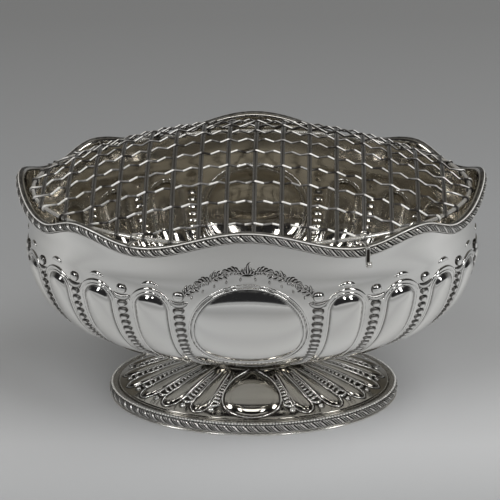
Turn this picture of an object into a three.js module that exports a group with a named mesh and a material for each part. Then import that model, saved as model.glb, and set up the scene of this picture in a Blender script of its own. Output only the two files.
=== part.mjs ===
import * as THREE from 'three';

// Oval footed flower bowl with a domed wire grille that hangs on the rim.
// Millimetres, Z up, the front faces -Y, the foot stands on Z = 0.

// ---- driving dimensions ----
const rimHalfLength = 175;      // outside of the gadroon border, end to end is 350
const depthRatio = 0.64;        // every oval is this much as deep as it is long
const rimPeak = 188.5;          // height of the rim at the front and back
const sheet = 1.2;              // thickness of the raised silver sheet
const gap = 0.3;                // air left between pieces that touch on the real one

// the rim round one quarter: [angle from the front or back in degrees, drop below the peak]
const rimWave = [[0, 0], [28, 17], [46, 8.5], [61, 18.5], [90, 2.5]];

const footHalfLength = 111.7;   // outside of the foot's gadroon border
const footHeight = 34.4;        // top of the foot, at its neck
const footSheet = 1;
const neckHalfLength = 39;      // where the foot meets the bowl
const collarHeight = 1.5;       // small ring between foot and bowl
const flangeThick = 1.6;

const borderDepth = 5;          // how far the rim border stands out from the wall
const borderHeight = 8;
const rimTeeth = 111;
const footBorderDepth = 7.7;
const footBorderHeight = 7.4;
const footTeeth = 79;

// outside of the bowl: [share of the way out from neck to wall, share of the way up to the shoulder]
const bowlShape = [
  [0.168, 0.074], [0.397, 0.168], [0.5725, 0.2445], [0.7175, 0.329], [0.832, 0.4295],
  [0.908, 0.5445], [0.9525, 0.6645], [0.977, 0.789], [0.985, 0.904], [0.983, 0.948], [0.98, 1],
];
// top of the foot: [share of the way out from neck to skirt, share of the way up to the neck,
// half angle of the pear at front and back, half angle of a flute, share of their full height]
const footShape = [
  [0.169, 0.874, 8.6, 2.2, 0.5], [0.415, 0.676, 14.6, 2.9, 0.8], [0.66, 0.423, 14.4, 3.6, 1],
  [0.846, 0.198, 10.1, 3.6, 0.95], [0.954, 0.045, 0, 0, 0], [1, 0, 0, 0, 0],
];
const pearRise = 2.8;
const fluteRise = 2.3;

const lobeFirst = 25;           // angle of the first lobe either side of the plain disc
const lobePitch = 16.25;
const lobeHalfAngle = 4.2;
const lobeArch = 11.4;          // height of a lobe's round top
const lobeRise = 3.4;
const discHalfWidth = 40.5;     // plain oval disc at front and back
const discHalfHeight = 32;
const discRise = 4.4;

const frameInset = 12.5;        // from the rim's outside to the middle of the grille's oval rod
const frameDepthInset = 10.5;   // the same at front and back
const frameLift = 3;            // middle of the rod above the rim's front dips
const frameRadius = 1.6;
const domeRise = 41;
const stripShift = 4.2;         // the strips sit a little right of centre
const stripWidth = 3.2;
const stripThick = 1;
const rowCount = 12;
const wireRadius = 0.65;
const crimp = 0.7;              // sideways kink of a wire between strips

const hookAngle = 30;
const hookWidth = 3.4;
const hookThick = 1.2;
const hookLeg = 13.5;           // how far a long hook reaches down below the rod

// ---- sizes that follow ----
const rimHalfDepth = rimHalfLength * depthRatio;
const wall = [rimHalfLength - borderDepth, rimHalfDepth - borderDepth];
const bowlFoot = footHeight + collarHeight + 2 * gap;
const shoulder = bowlFoot + 0.2 + 0.687 * (rimPeak - bowlFoot - 0.2);
const hollowBand = [wall[0] - 2.8, wall[1] - 0.6];
const bowlProfile = [[neckHalfLength - 19, bowlFoot], [neckHalfLength, bowlFoot + 0.2]].concat(
  bowlShape.map(([out, up]) => [
    neckHalfLength + out * (wall[0] - neckHalfLength),
    bowlFoot + 0.2 + up * (shoulder - bowlFoot - 0.2),
  ]));
const discHeight = shoulder + 1 - discHalfHeight;
const archHeight = shoulder - 6 - lobeArch;

const skirt = footHalfLength - footBorderDepth;
const skirtFoot = flangeThick + gap;
const footBorderTop = skirtFoot + 0.2 + footBorderHeight;
const skirtTop = footBorderTop + 1.7;
const footProfile = [[neckHalfLength - 6, footHeight], [neckHalfLength, footHeight - 1]].concat(
  footShape.map(([out, up, pear, flute, rise]) => [
    neckHalfLength + out * (skirt - neckHalfLength),
    skirtTop + up * (footHeight - 1 - skirtTop), pear, flute, rise,
  ]));

const frameHalfLength = rimHalfLength - frameInset;
const frameHalfDepth = rimHalfDepth - frameDepthInset;
const frameHeight = rimPeak - rimWave[1][1] + frameLift;
const stripPitch = frameHalfLength / 8.25;
const rowPitch = frameHalfDepth / 6.385;
const weave = wireRadius + stripThick / 2 + gap + 0.15;  // how far a wire stands off a strip's middle
const strapDrop = frameLift - 2 * gap - hookThick / 2;   // strap over the rim, below the rod's middle

// ---- small helpers ----
const rad = (deg) => deg * Math.PI / 180;

function silver(tint, roughness) {
  return new THREE.MeshStandardMaterial({ color: tint, metalness: 1, roughness });
}

const bodySilver = silver(0xdcdad4, 0.16);
const borderSilver = silver(0xcfccc4, 0.24);
const wireSilver = silver(0xc4c0b6, 0.28);

// mirrors an angle all round the oval into the quarter 0..90
function quarter(deg) {
  const turned = ((deg % 180) + 180) % 180;
  return turned > 90 ? 180 - turned : turned;
}

function rimHeight(deg) {
  const at = quarter(deg);
  for (let i = 1; i < rimWave.length; i++) {
    const [a0, drop0] = rimWave[i - 1];
    const [a1, drop1] = rimWave[i];
    if (at <= a1) {
      const part = (at - a0) / (a1 - a0);
      return rimPeak - drop0 - (drop1 - drop0) * (1 - Math.cos(Math.PI * part)) / 2;
    }
  }
  return rimPeak - rimWave[rimWave.length - 1][1];
}

// point on an oval, inset straight inwards by the same amount everywhere
function ovalPoint(deg, halfLength, halfDepth, z) {
  return [halfLength * Math.sin(rad(deg)), -halfDepth * Math.cos(rad(deg)), z];
}

function evenAngles(count) {
  return Array.from({ length: count }, (_, i) => i * 360 / count);
}

// angles round the oval: each lobe has its crest, its flanks and its edges, the plain ends a few more
function lobedAngles(plain, flanks) {
  const side = plain.slice();
  for (let at = lobeFirst; at < 180 - lobeFirst + 1; at += lobePitch) {
    flanks.slice().reverse().forEach((off) => side.push(at - off));
    side.push(at);
    flanks.forEach((off) => side.push(at + off));
    if (at + lobePitch < 180 - lobeFirst + 1) {
      side.push(at + lobePitch / 2);
    }
  }
  plain.slice(1).reverse().forEach((at) => side.push(180 - at));
  return side.concat(side.map((at) => at + 180));
}

function bowlAngles() {
  const edge = lobeFirst - lobePitch / 2;
  const disc = Math.asin(discHalfWidth / (0.985 * wall[0])) * 180 / Math.PI;
  const plain = [0, disc * 0.45, disc * 0.78, disc * 0.95, disc, edge];
  return lobedAngles(plain, [lobeHalfAngle * 0.62, lobeHalfAngle]);
}

function footAngles() {
  return lobedAngles([0, 5.5, 10, 13.6, lobeFirst - lobePitch / 2], [4]);
}

// builds one closed mesh from rows of points; each row is a closed loop
function closedMesh(name, rows, material, ends) {
  const count = rows[0].length;
  const points = [];
  const faces = [];
  rows.forEach((row) => row.forEach((p) => points.push(p)));
  const last = ends === 'ring' ? rows.length : rows.length - 1;
  for (let j = 0; j < last; j++) {
    for (let i = 0; i < count; i++) {
      const next = (i + 1) % count;
      const a = j * count + i;
      const b = j * count + next;
      const c = ((j + 1) % rows.length) * count + i;
      const d = ((j + 1) % rows.length) * count + next;
      faces.push([a, b, d], [a, d, c]);
    }
  }
  if (ends === 'poles') {
    [0, rows.length - 1].forEach((j) => {
      const centre = rows[j].reduce((sum, p) => sum.map((v, k) => v + p[k] / count), [0, 0, 0]);
      points.push(centre);
      for (let i = 0; i < count; i++) {
        const a = j * count + i;
        const b = j * count + (i + 1) % count;
        faces.push(j === 0 ? [b, a, points.length - 1] : [a, b, points.length - 1]);
      }
    });
  }
  if (ends === 'flat') {
    const top = (rows.length - 1) * count;
    for (let i = 1; i < count - 1; i++) {
      faces.push([0, i + 1, i], [top, top + i, top + i + 1]);
    }
  }
  return finishMesh(name, points, faces, material);
}

function finishMesh(name, points, faces, material) {
  let volume = 0;
  faces.forEach(([a, b, c]) => {
    const [p, q, r] = [points[a], points[b], points[c]];
    volume += p[0] * (q[1] * r[2] - q[2] * r[1]) - p[1] * (q[0] * r[2] - q[2] * r[0])
      + p[2] * (q[0] * r[1] - q[1] * r[0]);
  });
  const geometry = new THREE.BufferGeometry();
  geometry.setAttribute('position', new THREE.Float32BufferAttribute(points.flat(), 3));
  geometry.setIndex(faces.map((f) => (volume < 0 ? [f[0], f[2], f[1]] : f)).flat());
  geometry.computeVertexNormals();
  const mesh = new THREE.Mesh(geometry, material);
  mesh.name = name;
  return mesh;
}

// a bar of flat or round section along a path; side and up vectors are given per point
function bar(name, path, section, sideAt, material) {
  const rows = path.map((p, i) => {
    const before = new THREE.Vector3(...path[Math.max(0, i - 1)]);
    const after = new THREE.Vector3(...path[Math.min(path.length - 1, i + 1)]);
    const along = after.sub(before).normalize();
    const side = sideAt(i).clone();
    side.addScaledVector(along, -side.dot(along)).normalize();
    const up = new THREE.Vector3().crossVectors(side, along).normalize();
    let stretch = 1;
    if (i > 0 && i < path.length - 1) {
      const here = new THREE.Vector3(...p);
      const back = here.clone().sub(new THREE.Vector3(...path[i - 1])).normalize();
      stretch = 1 / Math.max(0.6, Math.abs(back.dot(along)));
    }
    return section.map(([s, u]) => [
      p[0] + side.x * s + up.x * u * stretch,
      p[1] + side.y * s + up.y * u * stretch,
      p[2] + side.z * s + up.z * u * stretch,
    ]);
  });
  return closedMesh(name, rows, material, 'flat');
}

function flatSection(width, thick) {
  const w = width / 2;
  const h = thick / 2;
  return [[-w, -h], [w, -h], [w, h], [-w, h]];
}

function roundSection(radius, sides) {
  return Array.from({ length: sides }, (_, i) => {
    const a = (i + 0.5) * 2 * Math.PI / sides;
    return [radius * Math.cos(a), radius * Math.sin(a)];
  });
}

// ---- bowl ----
function nearestLobe(deg) {
  const at = quarter(deg);
  const count = Math.round((90 - lobeFirst) / lobePitch);
  const k = THREE.MathUtils.clamp(Math.round((at - lobeFirst) / lobePitch), 0, count);
  return at - lobeFirst - k * lobePitch;
}

// how far the wall is raised: domed lobes with round tops, and the disc at front and back
function reliefAt(deg, x, z) {
  const off = nearestLobe(deg) / lobeHalfAngle;
  const over = Math.max(0, z - archHeight) / lobeArch;
  const away = Math.min(1, Math.hypot(off, over));
  const start = bowlFoot + 6;
  const up = THREE.MathUtils.clamp((z - start) / (archHeight - start), 0, 1);
  const lobe = lobeRise * up ** 0.8 * (1 - away * away) ** 0.62;
  const far = Math.min(1, Math.hypot(x / discHalfWidth, (z - discHeight) / discHalfHeight));
  return quarter(deg) < lobeFirst - lobePitch / 2 ? discRise * (1 - far ** 3) : lobe;
}

function bowlRow(angles, halfLength, z, inset) {
  return angles.map((deg) => {
    const x = halfLength * Math.sin(rad(deg));
    const out = reliefAt(deg, x, z) - inset;
    return ovalPoint(deg, halfLength + out, halfLength * depthRatio + out, z);
  });
}

function wallRow(angles, [halfLength, halfDepth], share, inset) {
  return angles.map((deg) => {
    const top = rimHeight(deg) - 0.4;
    const z = shoulder + (top - shoulder) * share;
    return ovalPoint(deg, halfLength - inset, halfDepth - inset, z);
  });
}

function buildBowlShell() {
  const angles = bowlAngles();
  const rows = [];
  bowlProfile.forEach(([r, z]) => rows.push(bowlRow(angles, r, z, 0)));
  rows.push(wallRow(angles, hollowBand, 0.33, 0));
  rows.push(wallRow(angles, wall, 0.66, 0));
  rows.push(wallRow(angles, wall, 1, 0));
  rows.push(wallRow(angles, wall, 1, sheet));
  rows.push(wallRow(angles, wall, 0.66, sheet));
  rows.push(wallRow(angles, hollowBand, 0.33, sheet));
  const inside = [12, 11, 10, 9, 7, 6, 5, 3, 1];
  inside.forEach((i) => {
    const [r, z] = bowlProfile[i];
    const steep = i > 6 ? 0.25 : i > 4 ? 0.75 : 1;
    rows.push(bowlRow(angles, r, z + sheet * steep, sheet * (i > 4 ? 1 : 0.35)));
  });
  return closedMesh('bowl_shell', rows, bodySilver, 'poles');
}

// toothed band: the high line of each tooth leans from upper left to lower right
function buildBorder(name, teeth, section, topAt, halfLength, ratio) {
  const angles = evenAngles(teeth * 2);
  const rows = section.map(([out, down, swing]) => angles.map((deg, i) => {
    const high = swing === 0 ? 0 : (i + (swing > 0 ? 0 : 1)) % 2 === 0 ? 0.45 : -0.75;
    const r = halfLength + out + high;
    return ovalPoint(deg, r, halfLength * ratio + out + high, topAt(deg) - down);
  }));
  return closedMesh(name, rows, borderSilver, 'ring');
}

function buildRimBorder() {
  const inner = gap - borderDepth;
  const section = [
    [inner, 0, 0], [-0.9, 0, 0],
    [-0.6, borderHeight * 0.35, 1], [-0.6, borderHeight * 0.7, -1],
    [-2.4, borderHeight, 0], [inner, borderHeight, 0],
  ];
  return buildBorder('rim_border', rimTeeth, section, rimHeight, rimHalfLength, depthRatio);
}

// ---- foot ----
function footRow(angles, [r, z, pear = 0, flute = 0, rise = 0], drop, cut) {
  const inset = footBorderDepth * (1 - depthRatio) * THREE.MathUtils.smoothstep(r, skirt - 24, skirt);
  return angles.map((deg) => {
    const atPear = Math.min(1, quarter(deg) / Math.max(pear, 0.1));
    const atFlute = Math.min(1, Math.abs(nearestLobe(deg)) / Math.max(flute, 0.1));
    const lift = Math.max(pearRise * (1 - atPear ** 2) ** 0.6, fluteRise * (1 - atFlute ** 2) ** 0.6);
    return ovalPoint(deg, r - cut, r * depthRatio - inset - cut, z + rise * lift - drop);
  });
}

function buildFootDome() {
  const angles = footAngles();
  const rows = footProfile.map((row) => footRow(angles, row, 0, 0));
  rows.push(footRow(angles, [skirt, skirtFoot], 0, 0));
  rows.push(footRow(angles, [skirt, skirtFoot], 0, footSheet));
  rows.push(footRow(angles, [skirt, skirtTop - 0.8], 0, footSheet));
  [6, 4, 3, 1].forEach((i) => rows.push(footRow(angles, footProfile[i], footSheet + 0.15, 0.3)));
  rows.push(footRow(angles, footProfile[0], footSheet + 0.1, 0));
  return closedMesh('foot_dome', rows, bodySilver, 'ring');
}

function buildFootBorder() {
  const inner = gap - footBorderDepth;
  const section = [
    [inner, 0, 0], [-0.6, footBorderHeight * 0.3, 1], [-0.6, footBorderHeight * 0.68, -1],
    [-2, footBorderHeight, 0], [inner, footBorderHeight, 0],
  ];
  return buildBorder('foot_border', footTeeth, section, () => footBorderTop, footHalfLength, depthRatio);
}

function buildFootCollar() {
  const r = neckHalfLength;
  const z = footHeight + gap;
  const section = [
    [r - 5, z], [r - 0.5, z], [r + 1, z + collarHeight / 2],
    [r - 0.5, z + collarHeight], [r - 5, z + collarHeight],
  ];
  return ovalRing('foot_collar', 36, section, r - 0.5, borderSilver);
}

function buildFootFlange() {
  const inner = skirt - 3;
  const outer = footHalfLength - 0.8;
  const section = [[inner, 0], [outer, 0], [outer, flangeThick], [inner, flangeThick]];
  return ovalRing('foot_flange', 60, section, footHalfLength, borderSilver);
}

function ovalRing(name, count, section, sizeAt, material) {
  const angles = evenAngles(count);
  const rows = section.map(([r, z]) => angles.map((deg) => (
    ovalPoint(deg, r, sizeAt * depthRatio + (r - sizeAt), z))));
  return closedMesh(name, rows, material, 'ring');
}

// ---- grille ----
function domeHeight(x, y) {
  return frameHeight + domeRise * (1 - (x / frameHalfLength) ** 2 - (y / frameHalfDepth) ** 2);
}

function domeNormal(x, y) {
  const nx = 2 * domeRise * x / frameHalfLength ** 2;
  const ny = 2 * domeRise * y / frameHalfDepth ** 2;
  return new THREE.Vector3(nx, ny, 1).normalize();
}

function buildFrame() {
  const angles = evenAngles(72);
  const rows = roundSection(frameRadius, 5).map(([s, u]) => angles.map((deg) => (
    ovalPoint(deg, frameHalfLength + s, frameHalfDepth + s, frameHeight + u))));
  return closedMesh('grille_frame', rows, wireSilver, 'ring');
}

function stripPlaces() {
  return Array.from({ length: 16 }, (_, i) => stripShift + (i - 8) * stripPitch);
}

function rowPlaces() {
  return Array.from({ length: rowCount }, (_, row) => (row - (rowCount - 1) / 2) * rowPitch);
}

const hookSpots = [
  { name: 'hook_front_left', deg: -hookAngle, long: false },
  { name: 'hook_front_right', deg: hookAngle, long: true },
  { name: 'hook_back_left', deg: hookAngle - 180, long: true },
  { name: 'hook_back_right', deg: 180 - hookAngle, long: true },
];

// each strip climbs over the dome and its ends fold round the frame rod
function buildStrip(x, index) {
  const reach = frameHalfDepth * Math.sqrt(1 - (x / frameHalfLength) ** 2);
  const slope = (frameHalfDepth / frameHalfLength) ** 2 * Math.abs(x) / reach;
  const hookX = frameHalfLength * Math.sin(rad(hookAngle));
  const cut = Math.abs(Math.abs(x) - hookX) < (stripWidth + hookWidth) / 2 + 1;
  const stand = frameRadius + gap + stripThick / 2 + 0.2;
  const aside = slope * (stripWidth / 2 + 0.35);
  const wide = frameRadius * (Math.hypot(1, slope) - 1) + aside + stand;
  const spread = reach - (cut ? 5 : wide + 1.5);
  const rows = rowPlaces().filter((y) => Math.abs(y) < spread - 2.5);
  const path = [-spread, ...rows, spread].map((y) => [x, y, domeHeight(x, y)]);
  path[0][2] = Math.max(path[0][2], frameHeight + stand);
  path[path.length - 1][2] = path[0][2];
  if (!cut) {
    const top = frameHeight + stand;
    [-1, 1].forEach((end) => {
      const fold = [[x, end * (reach + wide * 0.5), top]];
      if (slope < 1.2) {
        fold.push([x, end * (reach + wide), frameHeight + 0.3]);
        fold.push([x, end * (reach + wide * 0.6), frameHeight - stand]);
      }
      if (end < 0) {
        path.unshift(...fold.reverse());
      } else {
        path.push(...fold);
      }
    });
  }
  const tilt = -2 * domeRise * x / frameHalfLength ** 2;
  const sideAt = (i) => new THREE.Vector3(1, 0, Math.abs(path[i][1]) < spread - 1 ? tilt : 0);
  const name = `grille_strip_${String(index + 1).padStart(2, '0')}`;
  return bar(name, path, flatSection(stripWidth, stripThick), sideAt, wireSilver);
}

// each wire goes over one strip and under the next, with a kink in between
function buildWire(row) {
  const y = rowPlaces()[row];
  const reach = frameHalfLength * Math.sqrt(1 - (y / frameHalfDepth) ** 2);
  const slope = (frameHalfLength / frameHalfDepth) ** 2 * Math.abs(y) / reach;
  const stop = reach - (frameRadius + gap + wireRadius + 0.1) * Math.hypot(1, slope);
  const places = stripPlaces();
  const clear = stripWidth / 2 + wireRadius + 1;
  const crossed = places.filter((x) => Math.abs(x) < stop - clear);
  const ends = [-1, 1].map((side) => {
    const blocked = places.find((x) => x * side > 0 && Math.abs(Math.abs(x) - stop) <= clear);
    return side * (blocked === undefined ? stop : Math.abs(blocked) - clear);
  });
  const path = [];
  const put = (x, stand, kink) => {
    const n = domeNormal(x, y).multiplyScalar(stand);
    path.push([x + n.x, y + n.y + kink, domeHeight(x, y) + n.z]);
  };
  put(ends[0], 0, 0);
  crossed.forEach((x, i) => {
    const over = (places.indexOf(x) + row) % 2 === 0 ? weave : -weave;
    put(x - stripWidth / 2 - 0.5, over, 0);
    put(x + stripWidth / 2 + 0.5, over, 0);
    if (i < crossed.length - 1) {
      put(x + stripPitch / 2, 0, over > 0 ? crimp : -crimp);
    }
  });
  put(ends[1], 0, 0);
  const across = new THREE.Vector3(0, 1, 0);
  const name = `grille_wire_${String(row + 1).padStart(2, '0')}`;
  return bar(name, path, roundSection(wireRadius, 4), () => across, wireSilver);
}

// flat strap rolled round the frame rod, laid over the rim and, when long, down outside it
function buildHook(spot) {
  const turn = rad(spot.deg);
  const base = new THREE.Vector3(
    frameHalfLength * Math.sin(turn), -frameHalfDepth * Math.cos(turn), frameHeight);
  const out = new THREE.Vector3(
    Math.sin(turn) / frameHalfLength, -Math.cos(turn) / frameHalfDepth, 0).normalize();
  const across = new THREE.Vector3(-out.y, out.x, 0);
  const rimAway = Math.hypot(rimHalfLength * out.x, rimHalfDepth * out.y)
    - Math.hypot(frameHalfLength * out.x, frameHalfDepth * out.y);
  const leg = rimAway + hookThick / 2 + 2 * gap;
  const roll = frameRadius + gap + hookThick / 2 + 0.1;
  const shape = [];
  for (let a = 50; a <= 250; a += 40) {
    shape.push([roll * Math.cos(rad(a)), roll * Math.sin(rad(a))]);
  }
  shape.push([0.6, -roll]);
  shape.push([4, -strapDrop]);
  if (spot.long) {
    shape.push([leg - 1.9, -strapDrop], [leg - 0.5, -strapDrop - 0.8], [leg, -strapDrop - 2.8]);
    shape.push([leg, -hookLeg], [leg + 0.5, -hookLeg - 2.1], [leg + 2.1, -hookLeg - 3.4]);
    shape.push([leg + 4, -hookLeg - 2.7], [leg + 4.5, -hookLeg - 0.7], [leg + 3.3, -hookLeg + 0.6]);
  } else {
    shape.push([leg - 2.7, -strapDrop], [leg - 1.5, -strapDrop - 0.1]);
  }
  const path = shape.map(([d, h]) => [base.x + out.x * d, base.y + out.y * d, base.z + h]);
  return bar(spot.name, path, flatSection(hookWidth, hookThick), () => across, wireSilver);
}

// ---- the whole object ----
const group = new THREE.Group();
group.add(buildBowlShell());
group.add(buildRimBorder());
group.add(buildFootCollar());
group.add(buildFootDome());
group.add(buildFootBorder());
group.add(buildFootFlange());
group.add(buildFrame());
stripPlaces().forEach((x, i) => group.add(buildStrip(x, i)));
for (let row = 0; row < rowCount; row++) {
  group.add(buildWire(row));
}
hookSpots.forEach((spot) => group.add(buildHook(spot)));

export default group;
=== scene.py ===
import math

import bpy
import numpy as np
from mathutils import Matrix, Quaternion, Vector


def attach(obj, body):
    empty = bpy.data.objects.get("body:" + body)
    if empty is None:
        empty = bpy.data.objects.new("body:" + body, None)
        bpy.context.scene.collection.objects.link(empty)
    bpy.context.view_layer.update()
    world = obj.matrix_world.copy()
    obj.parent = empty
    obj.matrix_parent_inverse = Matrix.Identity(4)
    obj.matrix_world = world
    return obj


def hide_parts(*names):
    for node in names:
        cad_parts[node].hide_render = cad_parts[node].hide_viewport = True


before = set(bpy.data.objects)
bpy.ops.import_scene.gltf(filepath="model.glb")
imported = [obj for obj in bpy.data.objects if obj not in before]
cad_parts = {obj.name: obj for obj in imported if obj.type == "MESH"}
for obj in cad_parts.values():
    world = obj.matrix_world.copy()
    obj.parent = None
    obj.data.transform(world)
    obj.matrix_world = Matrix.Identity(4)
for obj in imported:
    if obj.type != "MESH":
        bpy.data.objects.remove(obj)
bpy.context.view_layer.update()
scene = bpy.context.scene
print("frame loaded")

# all lengths below are in millimetres, angles in degrees from the front
sizes = {
    "rimHalfLength": 175.0,
    "depthRatio": 0.64,
    "rimPeak": 188.5,
    "rimWave": [(0, 0), (28, 17), (46, 8.5), (61, 18.5), (90, 2.5)],    # angle, drop below the peak
    "shoulder": 141.0,
    "sheet": 1.2,
    "footHalfLength": 111.7,
    "skirt": 104.0,    # half length of the foot's dome at its edge
}
upward = np.array([0, 0, 1.0])
underside = 0.4    # how far the belly of a strand reaches into the sheet
ballRows, ballCols = 7, 12


def smoothStep(value, low, high):
    share = np.clip((value - low) / (high - low), 0, 1)
    return share * share * (3 - 2 * share)


def hump(value, middle, width):
    return np.exp(-(((value - middle) / width) ** 2))


def wrapped(deg):
    return (np.asarray(deg, float) + 180) % 360 - 180


def sinOf(deg):
    return np.sin(np.radians(deg))


def cosOf(deg):
    return np.cos(np.radians(deg))


def unit(v):
    return v / np.maximum(np.linalg.norm(v, axis=-1, keepdims=True), 1e-9)


def onOval(halfLength, halfDepth, deg, z):
    return np.stack(np.broadcast_arrays(halfLength * sinOf(deg), -halfDepth * cosOf(deg), z), axis=-1)


# height of the rim's top at any angle
def rimHeight(deg):
    at = np.abs(wrapped(deg))
    at = np.where(at > 90, 180 - at, at)
    drop = np.zeros_like(at)
    wave = sizes["rimWave"]
    for (a0, d0), (a1, d1) in zip(wave, wave[1:]):
        part = np.clip((at - a0) / (a1 - a0), 0, 1)
        step = d0 + (d1 - d0) * (1 - np.cos(np.pi * part)) / 2
        drop = np.where(at >= a0, step, drop)
    return sizes["rimPeak"] - drop


# length of a line up to each of its points
def lengthAlong(points):
    return np.append(0, np.cumsum(np.linalg.norm(np.diff(points, axis=0), axis=1)))


# even points along a smooth line through the given ones, any number of columns
def smoothLine(points, count):
    p = np.asarray(points, float)
    chord = lengthAlong(p)
    fine = np.linspace(0, chord[-1], 1600)
    slope = np.gradient(p, chord, axis=0)
    k = np.clip(np.searchsorted(chord, fine, side="right") - 1, 0, len(p) - 2)
    h = (chord[k + 1] - chord[k])[:, None]
    u = (fine - chord[k])[:, None] / h
    curve = (
        (2 * u**3 - 3 * u**2 + 1) * p[k]
        + (u**3 - 2 * u**2 + u) * h * slope[k]
        + (3 * u**2 - 2 * u**3) * p[k + 1]
        + (u**3 - u**2) * h * slope[k + 1]
    )
    length = lengthAlong(curve)
    at = np.linspace(0, length[-1], count)
    return np.stack([np.interp(at, length, column) for column in curve.T], axis=1)


# a shape gathers many closed solids that end up in one mesh
def newShape():
    return {"points": [], "quads": [], "tris": [], "dark": [], "count": 0}


# rows of points make one closed solid; wrap joins the last row to the first, else both ends are capped
def addRows(shape, rows, wrap=False, dark=0.0):
    r, c, _ = rows.shape
    points = rows.reshape(-1, 3)
    i = np.arange(c)
    nxt = (i + 1) % c
    here = np.arange(r if wrap else r - 1)[:, None] * c
    after = (here + c) % (r * c)
    quads = np.stack([here + i, here + nxt, after + nxt, after + i], axis=2).reshape(-1, 4)
    tris = np.zeros((0, 3), int)
    if not wrap:
        points = np.concatenate([points, [rows[0].mean(axis=0), rows[-1].mean(axis=0)]])
        top = (r - 1) * c
        tris = np.concatenate([
            np.stack([nxt, i, np.full(c, r * c)], axis=1),
            np.stack([top + i, top + nxt, np.full(c, r * c + 1)], axis=1),
        ])
    # faces that enclose less than nothing are turned over
    fans = np.concatenate([quads[:, [0, 1, 2]], quads[:, [0, 2, 3]], tris])
    a, b, d = points[fans].transpose(1, 0, 2)
    if (a * np.cross(b, d)).sum() < 0:
        quads, tris = quads[:, ::-1], tris[:, ::-1]
    shape["quads"].append(quads + shape["count"])
    shape["tris"].append(tris + shape["count"])
    shape["points"].append(points)
    darkness = np.zeros(len(points))
    darkness[: r * c] = np.broadcast_to(dark, (r, c)).reshape(-1)
    shape["dark"].append(darkness)
    shape["count"] += len(points)


def makePiece(name, shape, finish, nodes=(), body="bowl"):
    points = np.concatenate(shape["points"]).astype(np.float32) * 0.001
    faces = [face for part in shape["quads"] + shape["tris"] for face in part.tolist()]
    mesh = bpy.data.meshes.new(name)
    mesh.from_pydata(points.tolist(), [], faces, shade_flat=False)
    mark = mesh.attributes.new("dark", "FLOAT", "POINT")
    mark.data.foreach_set("value", np.concatenate(shape["dark"]).astype(np.float32))
    mesh.materials.append(silver[finish])
    piece = bpy.data.objects.new(name, mesh)
    scene.collection.objects.link(piece)
    if nodes:
        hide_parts(*nodes)
    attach(piece, body)
    print(name, len(points), "points")


# a rounded strand laid along points on a surface; width and height may change along it
def addStrand(shape, path, normals, width, height, sides=8, closed=False, sink=0.3, dark=0.0, crest=0.3):
    n = len(path)
    if closed:
        along = unit(np.roll(path, -1, axis=0) - np.roll(path, 1, axis=0))
    else:
        along = unit(np.gradient(path, axis=0))
    side = unit(np.cross(normals, along))
    up = unit(np.cross(along, side))
    w = np.broadcast_to(width, n)[:, None, None] / 2
    h = np.broadcast_to(height, n)[:, None, None]
    a = np.arange(sides) * 2 * np.pi / sides
    rise = np.sin(a)[None, :, None]
    rise = np.where(rise > 0, h * rise, underside * rise) - sink * h
    rows = path[:, None, :] + side[:, None, :] * w * np.cos(a)[None, :, None] + up[:, None, :] * rise
    # painted shade: the sides are dark up to the crest, and only the top stays bright
    low = np.broadcast_to(dark * (np.sin(a) < crest), (n, sides))
    addRows(shape, rows, wrap=closed, dark=low)


ballLat = np.linspace(0, np.pi, ballRows + 2)[1:-1, None]
ballLon = np.arange(ballCols)[None, :] * 2 * np.pi / ballCols
ball = np.stack(np.broadcast_arrays(
    np.sin(ballLat) * np.cos(ballLon), np.sin(ballLat) * np.sin(ballLon), np.cos(ballLat)), axis=2)


# a pillow-shaped bead, half sunk in the surface; painted shade darkens it up to the share shade of its
# height, and its crown stays bright as a painted highlight
def addBead(shape, centre, normal, up, halfWide, halfHigh, proud, dark=0.0, sag=0.0, shade=0.35):
    up = unit(up - normal * np.dot(up, normal))
    side = np.cross(up, normal)
    x, y = (np.sign(v) * np.abs(v) ** 0.85 for v in (ball[..., 0], ball[..., 1]))
    y = y - sag * np.clip(ball[..., 2], 0, 1) ** 1.5
    z = ball[..., 2:] * np.where(ball[..., 2:] > 0, proud, 0.2)
    rows = centre + x[..., None] * side * halfWide + y[..., None] * up * halfHigh + z * normal
    addRows(shape, rows, dark=dark * (ball[..., 2] < shade))


# normals of a grid of points, and millimetres for one degree round it
def gridShape(points):
    across = np.roll(points, -1, axis=1) - np.roll(points, 1, axis=1)
    speed = np.linalg.norm(across, axis=2) * points.shape[1] / 720
    return unit(np.cross(np.gradient(points, axis=0), across)), speed


# what ornament is laid on: distance down, millimetres for a degree, place and normal
def makeSurface(grid, points, side=1):
    both = np.concatenate([points, side * gridShape(points)[0]], axis=2)
    return {"down": grid["down"], "speed": grid["speed"], "both": both}


# place and normal on a surface at an angle and a distance down it
def surfaceAt(surface, degs, downs):
    count = surface["down"].shape[1]
    degs, downs = np.broadcast_arrays(np.atleast_1d(np.asarray(degs, float)), np.asarray(downs, float))
    out = np.zeros((len(degs), 6))
    for k, (deg, down) in enumerate(zip(degs, downs)):
        col = (deg % 360) / 360 * count
        low = int(col)
        part = col - low
        for c, share in ((low % count, 1 - part), ((low + 1) % count, part)):
            line = surface["down"][:, c]
            r = min(max(int(np.searchsorted(line, down)) - 1, 0), len(line) - 2)
            f = (down - line[r]) / (line[r + 1] - line[r])
            out[k] += share * (surface["both"][r, c] * (1 - f) + surface["both"][r + 1, c] * f)
    return out[:, :3], unit(out[:, 3:])


def speedAt(surface, deg, down):
    count = surface["down"].shape[1]
    c = int(round((deg % 360) / 360 * count)) % count
    return float(np.interp(down, surface["down"][:, c], surface["speed"][:, c]))


def layStrand(shape, surface, degs, downs, width, height, **how):
    addStrand(shape, *surfaceAt(surface, degs, downs), width, height, **how)


def layBead(shape, surface, deg, down, up, halfWide, halfHigh, proud, **how):
    place, normal = surfaceAt(surface, deg, down)
    addBead(shape, place[0], normal[0], up, halfWide, halfHigh, proud, **how)


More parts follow.
